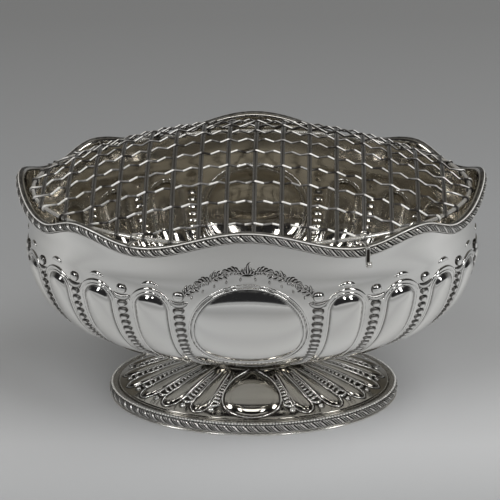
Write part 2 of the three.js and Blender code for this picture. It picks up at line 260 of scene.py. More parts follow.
# the output of a new shader node; each input takes a fixed value or another node's output
def addNode(tree, kind, outName, inputs=None, **settings):
    node = tree.nodes.new(kind)
    for key, value in settings.items():
        setattr(node, key, value)
    setInputs(tree, node, inputs or {})
    return node.outputs[outName]


def setInputs(tree, node, inputs):
    for key, value in inputs.items():
        socket = node.inputs[key]
        if isinstance(value, bpy.types.NodeSocket):
            tree.links.new(value, socket)
        else:
            socket.default_value = (*value, 1) if socket.type == "RGBA" else value


# silver, polished, with soft wear and fine scratches; the painted attribute dark turns it towards a dark
# colour, as tarnish where the shape is hollow and as painted shade
def makeSilver(look):
    mat = bpy.data.materials.new(look["name"])
    mat.use_nodes = True
    tree = mat.node_tree
    place = addNode(tree, "ShaderNodeTexCoord", "Object")

    def noise(scale, detail, stretch=(1, 1, 1)):
        turned = addNode(tree, "ShaderNodeMapping", "Vector", {"Scale": stretch, "Vector": place})
        inputs = {"Scale": scale, "Detail": detail, "Vector": turned}
        return addNode(tree, "ShaderNodeTexNoise", "Fac", inputs)

    def ranged(value, low, high, outLow, outHigh):
        inputs = {"Value": value, "From Min": low, "From Max": high, "To Min": outLow, "To Max": outHigh}
        return addNode(tree, "ShaderNodeMapRange", "Result", inputs)

    def reckoned(kind, first, second):
        inputs = {0: first, 1: second}
        return addNode(tree, "ShaderNodeMath", 0, inputs, operation=kind, use_clamp=kind != "ADD")

    def mixed(factor, first, second):
        inputs = {"Factor": factor, "A": first, "B": second}
        return addNode(tree, "ShaderNodeMix", "Result", inputs, data_type="RGBA")

    def bumped(strength, distance, height, below=None):
        inputs = {"Strength": strength, "Distance": distance, "Height": height}
        if below is not None:
            inputs["Normal"] = below
        return addNode(tree, "ShaderNodeBump", "Normal", inputs)

    roughScale, roughLow, roughHigh = look["rough"]
    waveScale, waveStrength = look["waves"]
    scratchRough, scratchDepth = look["scratches"]
    tone = mixed(ranged(noise(look["clouds"], 4), 0.35, 0.7, 0, 1), look["bright"], look["warm"])
    painted = addNode(tree, "ShaderNodeAttribute", "Fac", attribute_name="dark")
    patchy = ranged(noise(260, 3), 0.25, 0.75, 0.72, 1.0)
    shadeAndTarnish = reckoned("MULTIPLY", reckoned("MULTIPLY", painted, patchy), look["tarnishAndShade"])
    base = ranged(noise(roughScale, 5), 0.3, 0.75, roughLow, roughHigh)
    streak = ranged(noise(900, 2, (1, 1, 0.06)), 0.6, 0.8, 0, scratchRough)
    waves = bumped(waveStrength, 0.001, noise(waveScale, 2))
    setInputs(tree, tree.nodes["Principled BSDF"], {
        "Metallic": look["metal"],
        "Specular IOR Level": 0.5,
        "Base Color": mixed(shadeAndTarnish, tone, look["oxideAndShade"]),
        "Roughness": reckoned("ADD", reckoned("ADD", base, streak), reckoned("MULTIPLY", shadeAndTarnish, 0.35)),
        "Normal": bumped(scratchDepth, 0.0001, noise(1400, 3, (1, 1, 0.08)), waves),
    })
    return mat


# a strength of painted shade and tarnish above 1 turns what is painted darkest quite black; rough is scale,
# least and most, waves scale and strength, scratches how rough and how deep
finishes = {
    "bowl": {
        "name": "bowl_silver_polished", "metal": 1.0, "tarnishAndShade": 1.15, "clouds": 9,
        "bright": (0.93, 0.925, 0.905), "warm": (0.89, 0.875, 0.84), "oxideAndShade": (0.04, 0.034, 0.028),
        "rough": (14, 0.05, 0.1), "waves": (26, 0.14), "scratches": (0.03, 0.03),
    },
    # the foot's silver is darker than the bowl's, as painted shade under the bowl
    "foot": {
        "name": "foot_silver_painted_shade", "metal": 1.0, "tarnishAndShade": 1.15, "clouds": 9,
        "bright": (0.54, 0.525, 0.485), "warm": (0.46, 0.435, 0.385), "oxideAndShade": (0.02, 0.017, 0.014),
        "rough": (14, 0.05, 0.09), "waves": (30, 0.12), "scratches": (0.03, 0.03),
    },
    "lining": {
        "name": "lining_silver_warm", "metal": 1.0, "tarnishAndShade": 0.9, "clouds": 14,
        "bright": (0.86, 0.835, 0.79), "warm": (0.78, 0.745, 0.675), "oxideAndShade": (0.05, 0.042, 0.034),
        "rough": (30, 0.05, 0.1), "waves": (40, 0.1), "scratches": (0.03, 0.03),
    },
    # the borders and the garland are painted dark, as oxide in their grooves and painted shade elsewhere
    "border": {
        "name": "border_silver_oxide_and_shade", "metal": 0.9, "tarnishAndShade": 1.35, "clouds": 16,
        "bright": (0.94, 0.93, 0.905), "warm": (0.86, 0.84, 0.79), "oxideAndShade": (0.012, 0.01, 0.008),
        "rough": (40, 0.08, 0.15), "waves": (90, 0.12), "scratches": (0.05, 0.06),
    },
    # finish for the wires, whose faces carry painted highlights and painted shade
    "wire": {
        "name": "wire_silver_painted_highlights", "metal": 0.15, "tarnishAndShade": 1.35, "clouds": 24,
        "bright": (0.93, 0.92, 0.9), "warm": (0.87, 0.85, 0.8), "oxideAndShade": (0.016, 0.013, 0.011),
        "rough": (60, 0.16, 0.26), "waves": (120, 0.1), "scratches": (0.06, 0.08),
    },
    # finish for painted highlights on tooth edges, pearls and the beads inside, and for the wire along the
    # lip
    "edge": {
        "name": "edge_silver_painted_highlights", "metal": 0.42, "tarnishAndShade": 1.35, "clouds": 24,
        "bright": (0.93, 0.92, 0.895), "warm": (0.85, 0.83, 0.78), "oxideAndShade": (0.02, 0.017, 0.014),
        "rough": (60, 0.14, 0.24), "waves": (120, 0.1), "scratches": (0.05, 0.06),
    },
    # the strips' silver is painted dark, as painted shade
    "strip": {
        "name": "strip_silver_painted_shade", "metal": 0.8, "tarnishAndShade": 0.9, "clouds": 30,
        "bright": (0.25, 0.245, 0.235), "warm": (0.18, 0.172, 0.16), "oxideAndShade": (0.01, 0.008, 0.007),
        "rough": (60, 0.22, 0.36), "waves": (120, 0.25), "scratches": (0.08, 0.12),
    },
    "fitting": {
        "name": "fitting_silver_plain", "metal": 0.75, "tarnishAndShade": 1.35, "clouds": 30,
        "bright": (0.84, 0.83, 0.8), "warm": (0.7, 0.68, 0.63), "oxideAndShade": (0.03, 0.026, 0.022),
        "rough": (60, 0.12, 0.2), "waves": (120, 0.15), "scratches": (0.05, 0.08),
    },
}
silver = {key: makeSilver(look) for key, look in finishes.items()}
print("silver materials made")

bowl = {
    # half length, half depth, height, share of the way from shoulder to rim
    "profile": [
        (170.0, 107.0, 141, 1.0), (170.0, 107.0, 141, 0.8), (169.2, 106.8, 141, 0.62),
        (167.7, 106.5, 141, 0.45), (167.0, 106.3, 141, 0.3), (166.9, 106.5, 141, 0.14),
        (167.4, 107.1, 141, 0), (168.0, 107.5, 131, 0), (167.0, 106.9, 119, 0),
        (163.8, 104.8, 106, 0), (158.0, 101.1, 93.5, 0), (148.0, 94.7, 81.5, 0),
        (133.0, 85.1, 71, 0), (114.0, 73.0, 62.2, 0), (91.0, 58.2, 54.2, 0),
        (61.0, 39.0, 44.4, 0), (39.0, 25.0, 36.95, 0), (20.0, 12.8, 36.6, 0),
    ],
    "columns": 840,
    "rows": (12, 108, 9),    # by the rim, down the wall, under the bowl
    "wall": (144, 50),       # heights between which the rows are close
    "rimDrop": 0.6,          # of the sheet's edge below the border's top
    "wallRise": 38,          # from shoulder to rim, only to smooth the profile
    "lobeFirst": 25.0,
    "lobePitch": 16.25,
    "lobeCount": 9,
    "lobeHalfAngle": 4.2,
    "archDown": 17.5,
    # how high a lobe stands, against the distance below its arch
    "lobeHeights": [(-15, 3.6), (0, 3.3), (14, 2.5), (35, 1.9), (70, 1.2), (105, 0.5), (128, 0)],
    "lobeFull": 0.62,        # the smaller, the flatter its top and the steeper its sides
    "lobeFoot": 112,         # where a lobe's outlines end, below its arch
    "lobeGroove": (0.4, 0.22),        # round a lobe: depth, share of the lobe's size
    "lobeLine": (1.06, 0.07, 0.75),   # painted dark line in it, shade and tarnish in the groove: share of the lobe's size, width, darkness
    "grooveFade": (118, 95),          # down the wall, where groove and line have gone and are full
    "discHalfWidth": 38.8,
    "discHalfHeight": 35.8,
    "discDown": 32.8,
    "discRise": 4.4,
    "discGroove": (0.5, 0.14),
    "discLines": [(1.015, 0.018), (1.08, 0.014)],    # dark lines round it: share of its size, width
    "discDark": 0.95,
    "beadFirst": 17.4,
    # places of the beads below each pellet, measured down the wall
    "beads": [
        15.6, 21.6, 27.5, 33.2, 38.6, 43.6, 48.4, 52.9, 57.2, 61.4,
        65.4, 69.3, 73.2, 77.0, 80.9, 85, 89, 93, 97,
    ],
    "pelletDown": 4.0,
    # beads as they show inside: half width, height, half length of the first four and of the rest
    "pressedBead": (4.32, 1.5, 1.7, 1.35),
    "pressedPellet": (0.95, 3.0, 2.6),    # height, half width, half length
    # dull ground between the beads, painted a little dark: half its angle, where it begins and ends,
    # darkness
    "ground": (2.1, (14, 18), (100, 70), 0.12),
}
lobePlaces = [bowl["lobeFirst"] + k * bowl["lobePitch"] for k in range(bowl["lobeCount"])]
betweenLobes = [place - bowl["lobePitch"] / 2 for place in lobePlaces[1:]]
beadPlaces = [bowl["beadFirst"], *betweenLobes, 180 - bowl["beadFirst"]]
lobeMiddles = [s * a for s in (1, -1) for a in lobePlaces]
beadMiddles = [s * a for s in (1, -1) for a in beadPlaces]


# angle from the nearest of some places, on either side
def offsetFrom(deg, places):
    side = np.abs(wrapped(deg))
    places = np.asarray(places)
    return side - places[np.argmin(np.abs(side[..., None] - places), axis=-1)]


def buildBowlGrid():
    half, depth, low, share = np.array(bowl["profile"]).T
    # the part above the shoulder is drawn out to be smoothed, and then follows the rim's waves
    drawn = low + share * bowl["wallRise"]
    mean = smoothLine(np.column_stack([half, drawn, depth, low, share]), count=1600)
    length = lengthAlong(mean[:, :2])
    start, end = np.interp(np.negative(bowl["wall"]), -mean[:, 1], length)
    above, along, under = bowl["rows"]
    rows = np.concatenate([
        np.linspace(0, start, above, endpoint=False),
        np.linspace(start, end, along, endpoint=False),
        np.linspace(end, length[-1], under),
    ])
    half, _, depth, low, share = (np.interp(rows, length, column) for column in mean.T)
    deg = np.arange(bowl["columns"]) * 360 / bowl["columns"]
    top = rimHeight(deg) - bowl["rimDrop"]
    z = low[:, None] + share[:, None] * (top - sizes["shoulder"])[None, :]
    points = onOval(half[:, None], depth[:, None], deg, z)
    step = np.linalg.norm(np.diff(points, axis=0), axis=2)
    run = np.concatenate([np.zeros((1, len(deg))), np.cumsum(step, axis=0)])
    # distances down the wall are counted from the shoulder
    shoulder = np.argmin(np.abs(low - sizes["shoulder"]) + share * 50 + (low < sizes["shoulder"]) * 0.01)
    normals, speed = gridShape(points)
    return {"deg": deg, "points": points, "down": run - run[shoulder], "speed": speed, "normals": normals}


# how far the wall is pushed out, and where it is painted dark: painted shade and tarnish in the lines and
# grooves round lobes and discs, and on the ground between the beads
def bowlRelief(grid, withBeads):
    deg, down, speed = grid["deg"][None, :], grid["down"], grid["speed"]
    archSpeed = np.array([np.interp(bowl["archDown"], d, s) for d, s in zip(down.T, speed.T)])[None, :]
    radius = archSpeed * bowl["lobeHalfAngle"]
    off = offsetFrom(deg, lobePlaces)
    below = down - bowl["archDown"]
    q = np.where(
        below < 0,
        np.hypot(off * speed / radius, below / radius),
        np.abs(off) / bowl["lobeHalfAngle"],
    )
    high = np.interp(below, *zip(*bowl["lobeHeights"]))
    relief = high * np.clip(1 - q**2, 0, 1) ** bowl["lobeFull"]
    fade = smoothStep(down, *bowl["grooveFade"])
    deep, wide = bowl["lobeGroove"]
    relief -= deep * np.sin(np.pi * np.clip((q - 1) / wide, 0, 1)) * fade
    place, wide, tarnishAndShade = bowl["lobeLine"]
    dark = tarnishAndShade * hump(q, place, wide) * fade * (down > -1)
    deep, wide = bowl["discGroove"]
    for middle in (0, 180):
        x = wrapped(deg - middle) * speed
        d = np.hypot(x / bowl["discHalfWidth"], (down - bowl["discDown"]) / bowl["discHalfHeight"])
        relief += bowl["discRise"] * np.clip(1 - d**3, 0, 1) ** 0.9
        relief -= deep * np.sin(np.pi * np.clip((d - 1) / wide, 0, 1))
        for line in bowl["discLines"]:
            dark = np.maximum(dark, bowl["discDark"] * hump(d, *line))
    x = offsetFrom(deg, beadPlaces) * speed
    if withBeads:
        wide, high, firstLong, restLong = bowl["pressedBead"]
        for i, place in enumerate(bowl["beads"]):
            size = max(0.4, 1 - 0.04 * i)
            across = np.exp(-((x / (wide * size * speed / archSpeed)) ** 4))
            relief += high * size * across * hump(down, place, firstLong if i < 4 else restLong)
        high, wide, long = bowl["pressedPellet"]
        relief += high * hump(x, 0, wide) * hump(down, bowl["pelletDown"], long)
    halfAngle, start, end, tarnishAndShade = bowl["ground"]
    ground = np.exp(-((x / (halfAngle * speed)) ** 4)) * smoothStep(down, *start) * smoothStep(down, *end)
    return relief, np.maximum(dark, tarnishAndShade * ground)


bowlGrid = buildBowlGrid()
outRelief, outDark = bowlRelief(bowlGrid, False)
inRelief, inDark = bowlRelief(bowlGrid, True)
bowlOut = bowlGrid["points"] + bowlGrid["normals"] * outRelief[..., None]
bowlSurface = makeSurface(bowlGrid, bowlOut)


# the wall at a share of the sheet's thickness below its outside
def wallAt(share):
    return bowlGrid["points"] + bowlGrid["normals"] * (inRelief - share * sizes["sheet"])[..., None]


bowlIn = wallAt(1.0)
bowlInner = makeSurface(bowlGrid, bowlIn, side=-1)
clean = np.zeros_like(outDark)
shape = newShape()
addRows(shape, np.concatenate([wallAt(0.75)[::-1], bowlOut]), dark=np.concatenate([clean, outDark]))
makePiece("bowl_body", shape, "bowl", ["bowl_shell"])
shape = newShape()
addRows(shape, np.concatenate([bowlIn[::-1], wallAt(0.9)]), dark=np.concatenate([inDark[::-1], clean]))
makePiece("bowl_lining", shape, "lining")

chasing = {
    "outlineGap": 1.8,        # ridge round a lobe, out from the dome's edge
    "outlineWidth": 2.4,
    "outlineHeight": 0.95,
    "browGap": 4.7,
    "browWidth": 3.5,
    "browHeight": 1.5,
    "browHalfTurn": 66,
    "curlRadius": 2.0,        # at each end of a brow
    "curlTurn": 230,
    "curlTighten": 0.9,       # how much its radius shrinks on the way
    "curlShift": (1.9, 0.1),  # its middle from the brow's end
    "capWidth": 4.0,          # thin crescent that floats over the brow
    "capHeight": 1.5,
    "capHalfAngle": 2.4,
    "capDown": -3.5,
    "capBend": 2.0,
    "pelletHalf": 4.2,
    "pelletHeight": 2.4,
    "cupHalf": 7.0,           # crescent under the pellet
    "cupWidth": 5.4,
    "cupHeight": 2.0,
    "cupDown": 6.6,
    "cupBend": 4.6,
    "beadTilt": 9,            # degrees that a bead leans down away from the disc
    "beadHalfAngle": 1.62,
    "beadHeight": 1.9,
    "beadLong": (2.5, 2.1),   # half length of the first five and of the rest
    "beadDark": [(0, 0.85), (5, 0.8), (18, 0.25)],    # number of the bead, darkness of its painted shade
    "liningLines": [(0.3, 90), (2.6, 30)],    # inside the bowl: gap round a lobe, how far down
    "liningLine": (1.3, 0.45),    # width and height
    "liningDiscs": [1.0, 1.12],
    "liningRing": (1.4, 0.5),
    "liningBeads": 13,
}


# a line round a lobe's arch: up one side, over and down the other
def archLine(middle, gap, foot, legCount, arcCount):
    speed = speedAt(bowlSurface, middle, bowl["archDown"])
    radius = speed * bowl["lobeHalfAngle"] + gap
    half = radius / speed
    arc = np.linspace(-90, 90, arcCount)[1:-1]
    legs = np.linspace(foot, 0, legCount)
    degs = np.concatenate([np.full(legCount, -half), sinOf(arc) * half, np.full(legCount, half)])
    return middle + degs, np.concatenate([legs, -cosOf(arc) * radius, legs[::-1]])


def buildLobeOutlines():
    outlines, brows = newShape(), newShape()
    for middle in lobeMiddles:
        degs, below = archLine(middle, chasing["outlineGap"], bowl["lobeFoot"], 34, 25)
        size = np.interp(below, [0, 60, bowl["lobeFoot"]], [1, 0.8, 0.25])
        layStrand(outlines, bowlSurface, degs, bowl["archDown"] + below, chasing["outlineWidth"] * size,
                  chasing["outlineHeight"] * size, dark=0.75, crest=0.1)
        # the brow over the arch ends in small curls
        speed = speedAt(bowlSurface, middle, bowl["archDown"])
        radius = speed * bowl["lobeHalfAngle"] + chasing["browGap"]
        arc = np.linspace(-chasing["browHalfTurn"], chasing["browHalfTurn"], 23)
        x, y = radius * sinOf(arc), -radius * cosOf(arc)
        share = np.linspace(0, 1, 9)[1:]
        turn = 90 + chasing["curlTurn"] * share
        curl = chasing["curlRadius"] - chasing["curlTighten"] * share
        across, down = chasing["curlShift"]
        endX = x[-1] + across - curl * sinOf(turn)
        endY = y[-1] + down - curl * cosOf(turn)
        x = np.concatenate([-endX[::-1], x, endX])
        y = np.concatenate([endY[::-1], y, endY])
        taper = np.linspace(0.9, 1.5, 8)
        width = chasing["browWidth"] * sinOf(np.linspace(30, 150, 23))
        width = np.concatenate([taper, width, taper[::-1]])
        height = chasing["browHeight"] * (0.5 + 0.5 * width / width.max())
        layStrand(brows, bowlSurface, middle + x / speed, bowl["archDown"] + y, width, height, dark=0.7)
        u = np.linspace(-1, 1, 15)
        full = 1 - u**2
        layStrand(brows, bowlSurface, middle + chasing["capHalfAngle"] * u,
                  chasing["capDown"] + chasing["capBend"] * u**2, 0.25 + chasing["capWidth"] * full**0.7,
                  0.1 + chasing["capHeight"] * full**0.6, dark=0.8)
    makePiece("lobe_outlines", outlines, "bowl")
    makePiece("lobe_brows", brows, "bowl")


def buildBeadColumns():
    shape = newShape()
    for middle in beadMiddles:
        speed = speedAt(bowlSurface, middle, 24)
        scale = min(1.0, speed / 2.75) * 0.5 + 0.5
        half = chasing["pelletHalf"]
        layBead(shape, bowlSurface, middle, bowl["pelletDown"], upward, half * scale, half * 0.9,
                chasing["pelletHeight"], dark=0.9, sag=0.25, shade=0.6)
        u = np.linspace(-1, 1, 17)
        full = 1 - u**2
        degs = middle + np.sin(u * 1.25) * chasing["cupHalf"] * scale / speed
        layStrand(shape, bowlSurface, degs, chasing["cupDown"] + chasing["cupBend"] * np.cos(u * 1.35),
                  0.4 + chasing["cupWidth"] * full**0.8, 0.2 + chasing["cupHeight"] * full**0.7,
                  dark=0.8, crest=0.8)
        # beads lean a little, away from the disc
        tilt = math.copysign(chasing["beadTilt"], sinOf(2 * middle))
        for i, place in enumerate(bowl["beads"]):
            size = max(0.36, 1 - 0.036 * i)
            wide = chasing["beadHalfAngle"] * speedAt(bowlSurface, middle, place) * (1 - 0.012 * i)
            p, n = surfaceAt(bowlSurface, middle, place)
            up = upward * cosOf(tilt) + unit(np.cross(upward, n[0])) * sinOf(tilt)
            long = chasing["beadLong"][i >= 5] * size
            proud = chasing["beadHeight"] * size
            dark = np.interp(i, *zip(*chasing["beadDark"]))
            addBead(shape, p[0], n[0], up, wide, long, proud, dark=dark, sag=0.42, shade=0.8)
    makePiece("bead_columns", shape, "bowl")


disc = {
    "ridges": [(1.05, 1.9, 1.0), (1.12, 1.6, 0.85)],    # share of the disc's size, width, height
    "notches": 26,
    "notchPlace": 1.16,
    "notchStep": 3.6,
    "notchSize": (1.0, 1.3, 0.7),    # half width, half length, height
}


# angle and distance down of places round a disc, turned from its top
def roundDisc(middle, grow, turn):
    downs = bowl["discDown"] - cosOf(turn) * bowl["discHalfHeight"] * grow
    speeds = np.array([speedAt(bowlSurface, middle, d) for d in np.atleast_1d(downs)])
    return middle + sinOf(turn) * bowl["discHalfWidth"] * grow / speeds, downs


def buildDiscs():
    shape = newShape()
    for middle in (0, 180):
        for grow, width, height in disc["ridges"]:
            places = roundDisc(middle, grow, np.arange(0, 360, 2))
            layStrand(shape, bowlSurface, *places, width, height, closed=True, dark=0.9)
        # a row of short notches under the disc
        for k in range(disc["notches"]):
            turn = 180 + (k - (disc["notches"] - 1) / 2) * disc["notchStep"]
            places = roundDisc(middle, disc["notchPlace"], turn)
            layBead(shape, bowlSurface, *places, upward, *disc["notchSize"], dark=0.7)
    makePiece("disc_ridges", shape, "bowl")


# the same outlines show as fine lines inside the bowl
def buildLiningLines():
    shape = newShape()
    for middle in lobeMiddles:
        for gap, foot in chasing["liningLines"]:
            degs, below = archLine(middle, gap, foot, 24, 21)
            wide, high = np.outer(chasing["liningLine"], np.interp(below, [0, 90], [1, 0.4]))
            layStrand(shape, bowlInner, degs, bowl["archDown"] + below, wide, high, dark=0.8)
    for middle in (0, 180):
        for grow in chasing["liningDiscs"]:
            places = roundDisc(middle, grow, np.arange(0, 360, 3))
            layStrand(shape, bowlInner, *places, *chasing["liningRing"], closed=True, dark=0.8)
    makePiece("lining_lines", shape, "bowl")
    # a painted highlight on the lower edge of each pressed bead
    shape = newShape()
    u = np.linspace(-1, 1, 7)
    for middle in beadMiddles:
        for i, place in enumerate(bowl["beads"][: chasing["liningBeads"]]):
            size = max(0.4, 1 - 0.045 * i)
            layStrand(shape, bowlInner, middle + 0.55 * size * u, place + 0.9 - 0.5 * u**2,
                      1.6 * size * (1 - 0.6 * u**2), 0.3 * size, sides=6)
    makePiece("lining_bead_painted_highlights", shape, "edge")


buildLobeOutlines()
buildLiningLines()
buildBeadColumns()
buildDiscs()
print("chased ornament done")

garland = {
    "halfLength": 46.0,
    "top": 160.0,
    "fall": 20.5,
    # place of each spray along the arc, its lift, size and whether it is turned over
    "sprays": [(0.25, 1.0, 1.05, 1), (0.46, 0.2, 1.3, -1), (0.7, 0.6, 1.1, 1), (0.91, -0.2, 1.25, -1)],
    "drops": [0.11, 0.33, 0.52, 0.7, 0.88, 1.02],
    "dropBelow": 6.6,
    # one spray of leaves: points of each leaf along and across the arc, and its width
    "spray": [
        ([(-5.4, -2.0), (-3.0, -0.4), (0.0, 0.3), (3.4, -0.2), (5.4, -1.8)], 1.2),
        ([(-4.2, -0.8), (-4.0, 1.0), (-2.9, 2.4)], 1.4),
        ([(-2.3, 0.0), (-1.9, 1.9), (-0.3, 3.6)], 1.7),
        ([(-0.2, 0.3), (0.7, 1.9), (2.3, 2.6)], 1.6),
        ([(2.0, 0.0), (3.1, 1.1), (4.9, 1.2)], 1.5),
        ([(-3.2, -0.7), (-2.6, -2.0), (-1.2, -2.7)], 1.3),
        ([(-0.8, 0.0), (0.0, -1.6), (1.7, -2.3)], 1.4),
        ([(2.6, -0.2), (3.0, -1.6), (4.2, -2.9)], 1.2),
    ],
    "curl": (4.7, 0.6, 1.7),
    "palmette": [
        ([(0.0, -3.2), (0.1, 0.0), (-0.2, 3.0), (0.6, 5.4), (2.0, 6.3)], 2.0),
        ([(-0.8, -3.0), (-1.9, -0.4), (-1.6, 2.6)], 2.1),
        ([(0.9, -3.0), (2.2, -0.6), (2.0, 2.4)], 2.1),
        ([(-2.2, -3.2), (-4.1, -1.4), (-4.0, 1.4)], 1.9),
        ([(2.3, -3.2), (4.3, -1.4), (4.2, 1.2)], 1.9),
        ([(-3.4, -3.4), (-6.0, -2.6), (-6.9, -0.4)], 1.6),
        ([(3.5, -3.4), (6.2, -2.6), (7.0, -0.4)], 1.6),
        ([(-5.2, -4.0), (0.0, -4.4), (5.2, -4.0)], 1.2),
    ],
}


def buildGarland():
    shape = newShape()
    # the leaves are painted dark nearly to their tops, as painted shade and tarnish
    cast = {"sink": 0.15, "dark": 1.0, "crest": 0.8}
    for middle in (0, 180):
        speed = speedAt(bowlSurface, middle, -8)

        # places on the wall are complex numbers, across and up
        def lay(places, width, height):
            layStrand(shape, bowlSurface, middle + places.real / speed, sizes["shoulder"] - places.imag,
                      width, height, **cast)

        # a leaf swells from a thin stem and ends in a point
        def leaf(line, width, place, scale, hand, lean):
            x, z = smoothLine(np.array(line, float) * scale, count=12).T
            body = np.sin(np.pi * (0.1 + 0.84 * np.linspace(0, 1, 12))) ** 0.7
            places = place + (x * hand + 1j * z) * np.exp(1j * lean)
            lay(places, width * scale * body + 0.3, 1.8 * body + 0.2)

        def curl(place, radius, hand):
            u = np.linspace(0, 1, 18)
            turn = np.radians(hand * (400 * u - 60))
            lay(place + radius * (1 - 0.65 * u) * 1j * np.exp(-1j * turn), 1.2 - 0.4 * u, 1.3 - 0.3 * u)

        def arc(share):
            z = garland["top"] - garland["fall"] * abs(share) ** 1.75
            return garland["halfLength"] * share + 1j * z

        for line, width in garland["palmette"]:
            leaf(line, width, arc(0), 1.0, 1, 0)
        for hand in (-1, 1):
            curl(hand * 7.0 + 1j * (garland["top"] - 1.9), 1.6, hand)
        for hand in (1, -1):
            for share, lift, size, turned in garland["sprays"]:
                lean = np.angle(arc(share + 0.02) - arc(share - 0.02)) * hand * 0.85
                place = arc(share).real * hand + 1j * (arc(share).imag + lift)
                for line, width in garland["spray"]:
                    leaf(line, width, place, size, hand * turned, lean)
                x, z, radius = garland["curl"]
                place += (x * hand * turned * size + 1j * z) * np.exp(1j * lean)
                curl(place, radius * size, hand * turned)
            # small drops hang below the garland
            for share in garland["drops"]:
                place = arc(share).real * hand + 1j * (arc(share).imag - garland["dropBelow"])
                leaf([(0, 1.2), (0.2 * hand, 0), (0.5 * hand, -1.4)], 1.3, place, 1.0, 1, 0)
    makePiece("garland_leaves", shape, "border")


buildGarland()
print("garland done")

rimBand = {
    "name": "rim_gadroon",
    "node": "rim_border",
    "halfLength": sizes["rimHalfLength"],
    "topAt": rimHeight,
    "teeth": 111,
    "perTooth": 22,    # columns of the mesh
    "lean": 0.95,      # teeth slant by this many teeth from top to bottom of the band
    "depth": 1.3,      # of the valleys between teeth
    "edge": [1.5, 6.75, 0.72, 0.42],    # where a tooth's painted highlight, its bright edge, starts and ends, its width and height
    "wire": [-2.1, 0.55, 1.1, 0.45],    # plain wire along the lip: out, drop, width, height
    # out from the rim's outside, drop below the rim's top, tooth strength, darkness: painted shade on the
    # lip and the flats, and tarnish in the grooves
    "section": [
        (-4.75, 7.9, 0, 0.4), (-4.75, 4.0, 0, 0.5), (-4.75, 1.2, 0, 0.6), (-4.45, 0.5, 0, 0.72),
        (-3.9, 0.1, 0, 0.72), (-3.2, 0.0, 0, 0.72), (-2.5, 0.1, 0, 0.66), (-2.0, 0.4, 0, 0.5),
        (-1.8, 0.8, 0, 0.5), (-1.95, 1.1, 0, 0.8), (-2.1, 1.3, 0, 1), (-1.8, 1.5, 0.3, 0.9),
        (-1.2, 1.75, 0.8, 0.1), (-0.65, 2.2, 1, 0), (-0.3, 2.8, 1, 0), (-0.12, 3.5, 1, 0),
        (-0.1, 4.2, 1, 0), (-0.15, 4.9, 1, 0), (-0.35, 5.6, 1, 0), (-0.7, 6.25, 1, 0),
        (-1.15, 6.8, 0.8, 0), (-1.55, 7.15, 0.3, 0.2), (-1.75, 7.35, 0, 1), (-1.75, 7.6, 0, 0.7),
        (-1.9, 7.85, 0, 0.4), (-2.5, 8.0, 0, 0.4), (-3.4, 8.0, 0, 0.3),
    ],
}
footBand = {
    "name": "foot_gadroon",
    "node": "foot_border",
    "halfLength": sizes["footHalfLength"],
    "topAt": lambda deg: 9.5 + 0 * deg,
    "teeth": 79,
    "perTooth": 22,
    "lean": 1.0,
    "depth": 1.0,
    "edge": [1.3, 6.3, 0.72, 0.4],
    "wire": None,
    "section": [
        (-7.35, 7.4, 0, 0), (-7.35, 3.5, 0, 0), (-7.35, 0.4, 0, 0.4), (-6.6, 0.0, 0, 0.4),
        (-5.0, -0.1, 0, 0.3), (-3.6, 0.05, 0, 0.3), (-2.6, 0.35, 0, 0.8), (-2.0, 0.75, 0.1, 1),
        (-1.5, 1.0, 0.4, 0.5), (-0.95, 1.4, 0.9, 0), (-0.5, 2.0, 1, 0), (-0.2, 2.8, 1, 0),
        (-0.12, 3.6, 1, 0), (-0.2, 4.4, 1, 0), (-0.5, 5.3, 1, 0), (-1.0, 6.05, 0.85, 0),
        (-1.5, 6.55, 0.4, 0.4), (-1.8, 6.85, 0, 1), (-1.7, 7.15, 0, 0.3), (-2.2, 7.4, 0, 0.2),
    ],
}
# across one tooth: share of its width, height, darkness; a sharp ridge left bright, a valley painted black,
# a face painted darker as painted shade, with fine lines
toothShape = [
    (0.0, 1.0, 0.0), (0.1, 1.0, 0.0), (0.13, 0.1, 1.0), (0.28, 0.05, 1.0), (0.315, 0.6, 0.45),
    (0.46, 0.75, 0.4), (0.5, 0.5, 1.0), (0.55, 0.5, 1.0), (0.59, 0.75, 0.45), (0.73, 0.77, 0.4),
    (0.77, 0.55, 1.0), (0.82, 0.55, 1.0), (0.86, 0.82, 0.4), (0.96, 0.95, 0.3),
]


# angles that step evenly round an oval, so that the teeth are all as wide
def evenAround(halfLength, halfDepth, count, heightAt=np.zeros_like):
    deg = np.linspace(0, 360, 7201)
    run = lengthAlong(onOval(halfLength, halfDepth, deg, heightAt(deg)))
    return np.interp(np.arange(count) / count * run[-1], run, deg)


